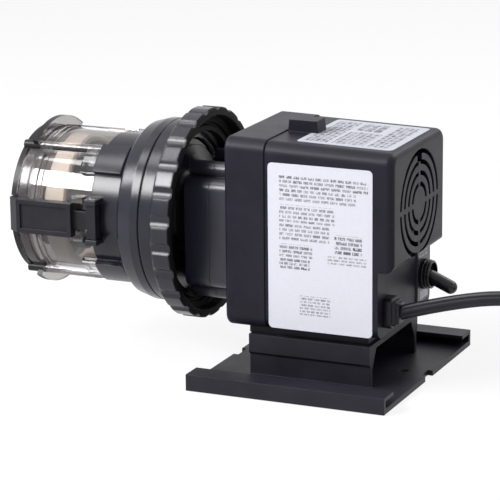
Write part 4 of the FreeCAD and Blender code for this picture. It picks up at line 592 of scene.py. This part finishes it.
# ratings labels, with plain bars where the print would be
sideLabelLook = {"x": (-20.7, 40.5), "z": (32.9, 126.3), "corner": 2.5, "face": -41.5, "thick": 0.25,
                 "sunk": 0.02}
sidePrint = printedLabel("sidePrint", {
    "axes": ("X", "Z"), "dark": (0.48, 0.48, 0.54), "light": (0.54, 0.54, 0.6), "fibre": 900.0,
    "speck": 1500.0, "inkColour": (0.03, 0.03, 0.036), "rough": (0.38, 0.52),
    "areas": [{"x": (-14, 38), "z": (113.1, 120.4), "word": 6.2, "row": 2.45, "gap": 0.5, "ink": 0.85},
              {"x": (-14, 31), "z": (105.8, 113.1), "word": 5.2, "row": 2.45, "gap": 0.5, "ink": 0.8},
              {"x": (-14, 18.5), "z": (93.8, 103.6), "word": 4.6, "row": 2.45, "gap": 0.5, "ink": 0.8},
              {"x": (-14, 15.5), "z": (83.3, 93.1), "word": 5.4, "row": 2.45, "gap": 0.5, "ink": 0.75},
              {"x": (-14, 5.5), "z": (74.2, 81.5), "word": 6.4, "row": 2.45, "gap": 0.45, "ink": 0.85},
              {"x": (-14, 4), "z": (67.2, 73.6), "word": 4.1, "row": 2.1, "gap": 0.35, "ink": 0.95},
              {"x": (18.5, 34.5), "z": (78.5, 89.0), "word": 7.2, "row": 2.6, "gap": 0.45, "ink": 0.95},
              {"x": (14.5, 37), "z": (72.0, 77.4), "word": 4.4, "row": 1.8, "gap": 0.4, "ink": 0.7},
              {"x": (-2, 16), "z": (42.0, 53.0), "word": 3.8, "row": 1.8, "gap": 0.38, "ink": 0.75}]})
labelFront = sideLabelLook["face"] - sideLabelLook["thick"]
labelBack = sideLabelLook["face"] + sideLabelLook["sunk"]
sideLabel = addBlock("ratingsLabelSide", (sideLabelLook["x"][0], labelFront, sideLabelLook["z"][0]),
                     (sideLabelLook["x"][1], labelBack, sideLabelLook["z"][1]))
roundCorners(sideLabel, 1, sideLabelLook["corner"])
finishPiece(sideLabel, "pump_body", sidePrint)

topLabelLook = {"x": (-8.3, 47.4), "y": (-30.9, 30.9), "corner": 2.5, "thick": 0.25, "sunk": 0.02,
                "frontX": -47.0, "frontZ": 137.6, "fall": 2.2 / 99.0}
topPrint = printedLabel("topPrint", {
    "axes": ("Y", "X"), "dark": (0.38, 0.39, 0.45), "light": (0.45, 0.46, 0.52), "fibre": 900.0,
    "speck": 700.0, "inkColour": (0.02, 0.02, 0.026), "rough": (0.38, 0.52),
    "areas": [{"x": (-27, 27), "z": (-5, 8), "word": 6.5, "row": 3.1, "gap": 0.42, "ink": 0.95},
              {"x": (-27, 4), "z": (10.4, 29), "word": 5.6, "row": 3.1, "gap": 0.42, "ink": 0.95},
              {"x": (8, 26), "z": (11, 26), "word": 9.0, "row": 5.2, "gap": 0.5, "ink": 1.0},
              {"x": (-27, 26), "z": (31, 43.4), "word": 5.8, "row": 3.1, "gap": 0.42, "ink": 0.9}]})
topLabel = addBlock("ratingsLabelTop",
                    (topLabelLook["x"][0], topLabelLook["y"][0], -topLabelLook["sunk"]),
                    (topLabelLook["x"][1], topLabelLook["y"][1], topLabelLook["thick"]))
roundCorners(topLabel, 2, topLabelLook["corner"])
for vertex in topLabel.data.vertices:
    # lay it on the housing's sloping top
    drop = (vertex.co.x - topLabelLook["frontX"] * mm) * topLabelLook["fall"]
    vertex.co.z += topLabelLook["frontZ"] * mm - drop
finishPiece(topLabel, "pump_body", topPrint)
print("labels done")

# toggle nut: a ribbed rubber boot round the lever, as (distance from start, radius) pairs in millimetres
bootLook = {"start": 44.5, "centre": (28.0, 52.5), "steps": 96, "smooth": 32,
            "profile": [(0.0, 5.95), (0.0, 8.3), (0.3, 8.6), (1.9, 8.6), (2.15, 8.25), (2.3, 7.6),
                        (2.75, 7.6), (2.9, 8.1), (3.15, 8.4), (3.9, 8.4), (4.15, 8.1), (4.3, 7.6),
                        (4.7, 7.6), (4.85, 7.9), (5.1, 8.15), (5.6, 8.0), (5.95, 7.5), (6.0, 7.05),
                        (5.85, 6.8), (3.0, 6.75), (2.95, 5.95)],
            "knurl": 0.28, "knurlFrom": 8.5, "knurlEnd": 2.0}
bootProfile = [(bootLook["start"] + along, radius) for along, radius in bootLook["profile"]]
toggleNut = lathe("toggleNut", bootProfile, bootLook["centre"], bootLook["steps"])
for vertex in toggleNut.data.vertices:
    # fine knurl round the first collar
    across = vertex.co.y - bootLook["centre"][0] * mm
    up = vertex.co.z - bootLook["centre"][1] * mm
    reach = math.hypot(across, up)
    onCollar = vertex.co.x < (bootLook["start"] + bootLook["knurlEnd"]) * mm
    tooth = round(math.atan2(up, across) / math.tau * bootLook["steps"])
    if reach > bootLook["knurlFrom"] * mm and onCollar and tooth % 2:
        vertex.co.y -= across / reach * bootLook["knurl"] * mm
        vertex.co.z -= up / reach * bootLook["knurl"] * mm
smoothen(toggleNut, bootLook["smooth"])
finishPiece(toggleNut, "pump_body", switchRubber, ("toggle_boot",))
print("toggle nut done")

# strain relief: a rounded block with two collars round the cord, each (set in by, standing out by)
reliefLook = {"low": (43.5, -34.0, 36.5), "high": (48.4, -21.0, 53.5), "corner": 3.0,
              "collars": ((1.5, 2.2), (1.0, 1.5)), "skin": 0.1, "edge": 0.45, "edgeAngle": 50, "smooth": 40}
strainBlock = addBlock("strainBlock", reliefLook["low"], reliefLook["high"])
roundCorners(strainBlock, 0, reliefLook["corner"])
for inward, outward in reliefLook["collars"]:
    front = max(vertex.co.x for vertex in strainBlock.data.vertices) - reliefLook["skin"] * mm
    selectFaces(strainBlock, lambda middle, normal: normal.x > nearly and middle.x > front)
    bpy.ops.mesh.inset(thickness=inward * mm, depth=0)
    bpy.ops.mesh.extrude_region_move(TRANSFORM_OT_translate={"value": (outward * mm, 0, 0)})
    leaveEdit()
cleanMesh(strainBlock)
softenEdges(strainBlock, reliefLook["edge"], reliefLook["edgeAngle"])
smoothen(strainBlock, reliefLook["smooth"])
finishPiece(strainBlock, "pump_body", cordRubber, ("strain_relief",))
print("strain relief done")

# stepped rings moulded round the clear cover behind its end disc, each (front, back, radius)
ringLook = {"rings": ((-176.6, -171.4, 42.75), (-168.9, -166.2, 42.5), (-164.2, -162.9, 42.25)),
            "wall": 41.45, "edge": 0.25, "steps": 160, "smooth": 30}
for place, (front, back, radius) in enumerate(ringLook["rings"], 1):
    wall, edge = ringLook["wall"], ringLook["edge"]
    ringProfile = [(front, wall), (front, radius - edge), (front + edge, radius),
                   (back - edge, radius), (back, radius - edge), (back, wall)]
    coverRing = lathe(f"coverRing{place}", ringProfile, pumpAxis, ringLook["steps"])
    smoothen(coverRing, ringLook["smooth"])
    finishPiece(coverRing, "pump_body", coverClear)
print("cover rings done")

# studio: pale floor and world, white to the camera and in reflections, and plain soft lamps
stageLook = {"floorSize": 6.0, "floorDrop": 0.4, "floorColour": (0.85, 0.85, 0.86), "whitening": 0.85,
             "worldLight": 0.2}
lampLook = {
    "topBox": {"place": (-0.1, 0.15, 1.1), "aim": (0, 0, 0.08), "size": (1.1, 0.9), "power": 2},
    "nearBox": {"place": (-0.9, -0.81, 0.95), "aim": (0, 0, 0.08), "size": (1.15, 0.48), "power": 38},
    "rearBox": {"place": (1.2, -0.1, 0.6), "aim": (0, 0, 0.08), "size": (0.6, 0.6), "power": 1},
    "farBox": {"place": (0.55, 1.15, 1.15), "aim": (0, 0, 0.08), "size": (0.9, 0.6), "power": 10},
    "edgeBox": {"place": (-0.5, -0.27, 1.08), "aim": (-0.06, -0.02, 0.1), "size": (0.3, 0.3), "power": 2},
}


def seenRays(tree):
    # 1 for rays that look at the background, also through clear and in shiny pieces, 0 for its light
    path = tree.add("ShaderNodeLightPath").outputs
    throughOrIn = tree.calc("MAXIMUM", path["Is Transmission Ray"], path["Is Glossy Ray"])
    return tree.calc("MAXIMUM", path["Is Camera Ray"], throughOrIn)


clearSelection()
bpy.ops.mesh.primitive_plane_add(size=stageLook["floorSize"], location=(0, 0, -stageLook["floorDrop"] * mm))
floor = bpy.context.object
floor.name = "paleFloor"
tree = newMaterial("paleFloor")
shadowed = tree.add("ShaderNodeBsdfDiffuse", Color=rgba(stageLook["floorColour"])).outputs[0]
plain = tree.add("ShaderNodeEmission", Color=white, Strength=1.0).outputs[0]
whitened = tree.calc("MULTIPLY", seenRays(tree), stageLook["whitening"])
floor.data.materials.append(tree.show(tree.mixShader(whitened, shadowed, plain)))

tree = Nodes(bpy.data.worlds.new("studio"), "ShaderNodeOutputWorld")
lighting = tree.add("ShaderNodeBackground", Color=white, Strength=stageLook["worldLight"]).outputs[0]
plain = tree.add("ShaderNodeBackground", Color=white, Strength=1.0).outputs[0]
sceneRef.world = tree.show(tree.mixShader(seenRays(tree), lighting, plain))

for name, look in lampLook.items():
    lampData = bpy.data.lights.new(name, "AREA")
    lampData.shape = "RECTANGLE"
    lampData.size, lampData.size_y = look["size"]
    lampData.energy = look["power"]
    lamp = bpy.data.objects.new(name, lampData)
    sceneRef.collection.objects.link(lamp)
    lamp.location = look["place"]
    lamp.rotation_euler = (Vector(look["aim"]) - Vector(look["place"])).to_track_quat("-Z", "Y").to_euler()

sceneRef.view_settings.view_transform = "Standard"
print("stage and lamps done")
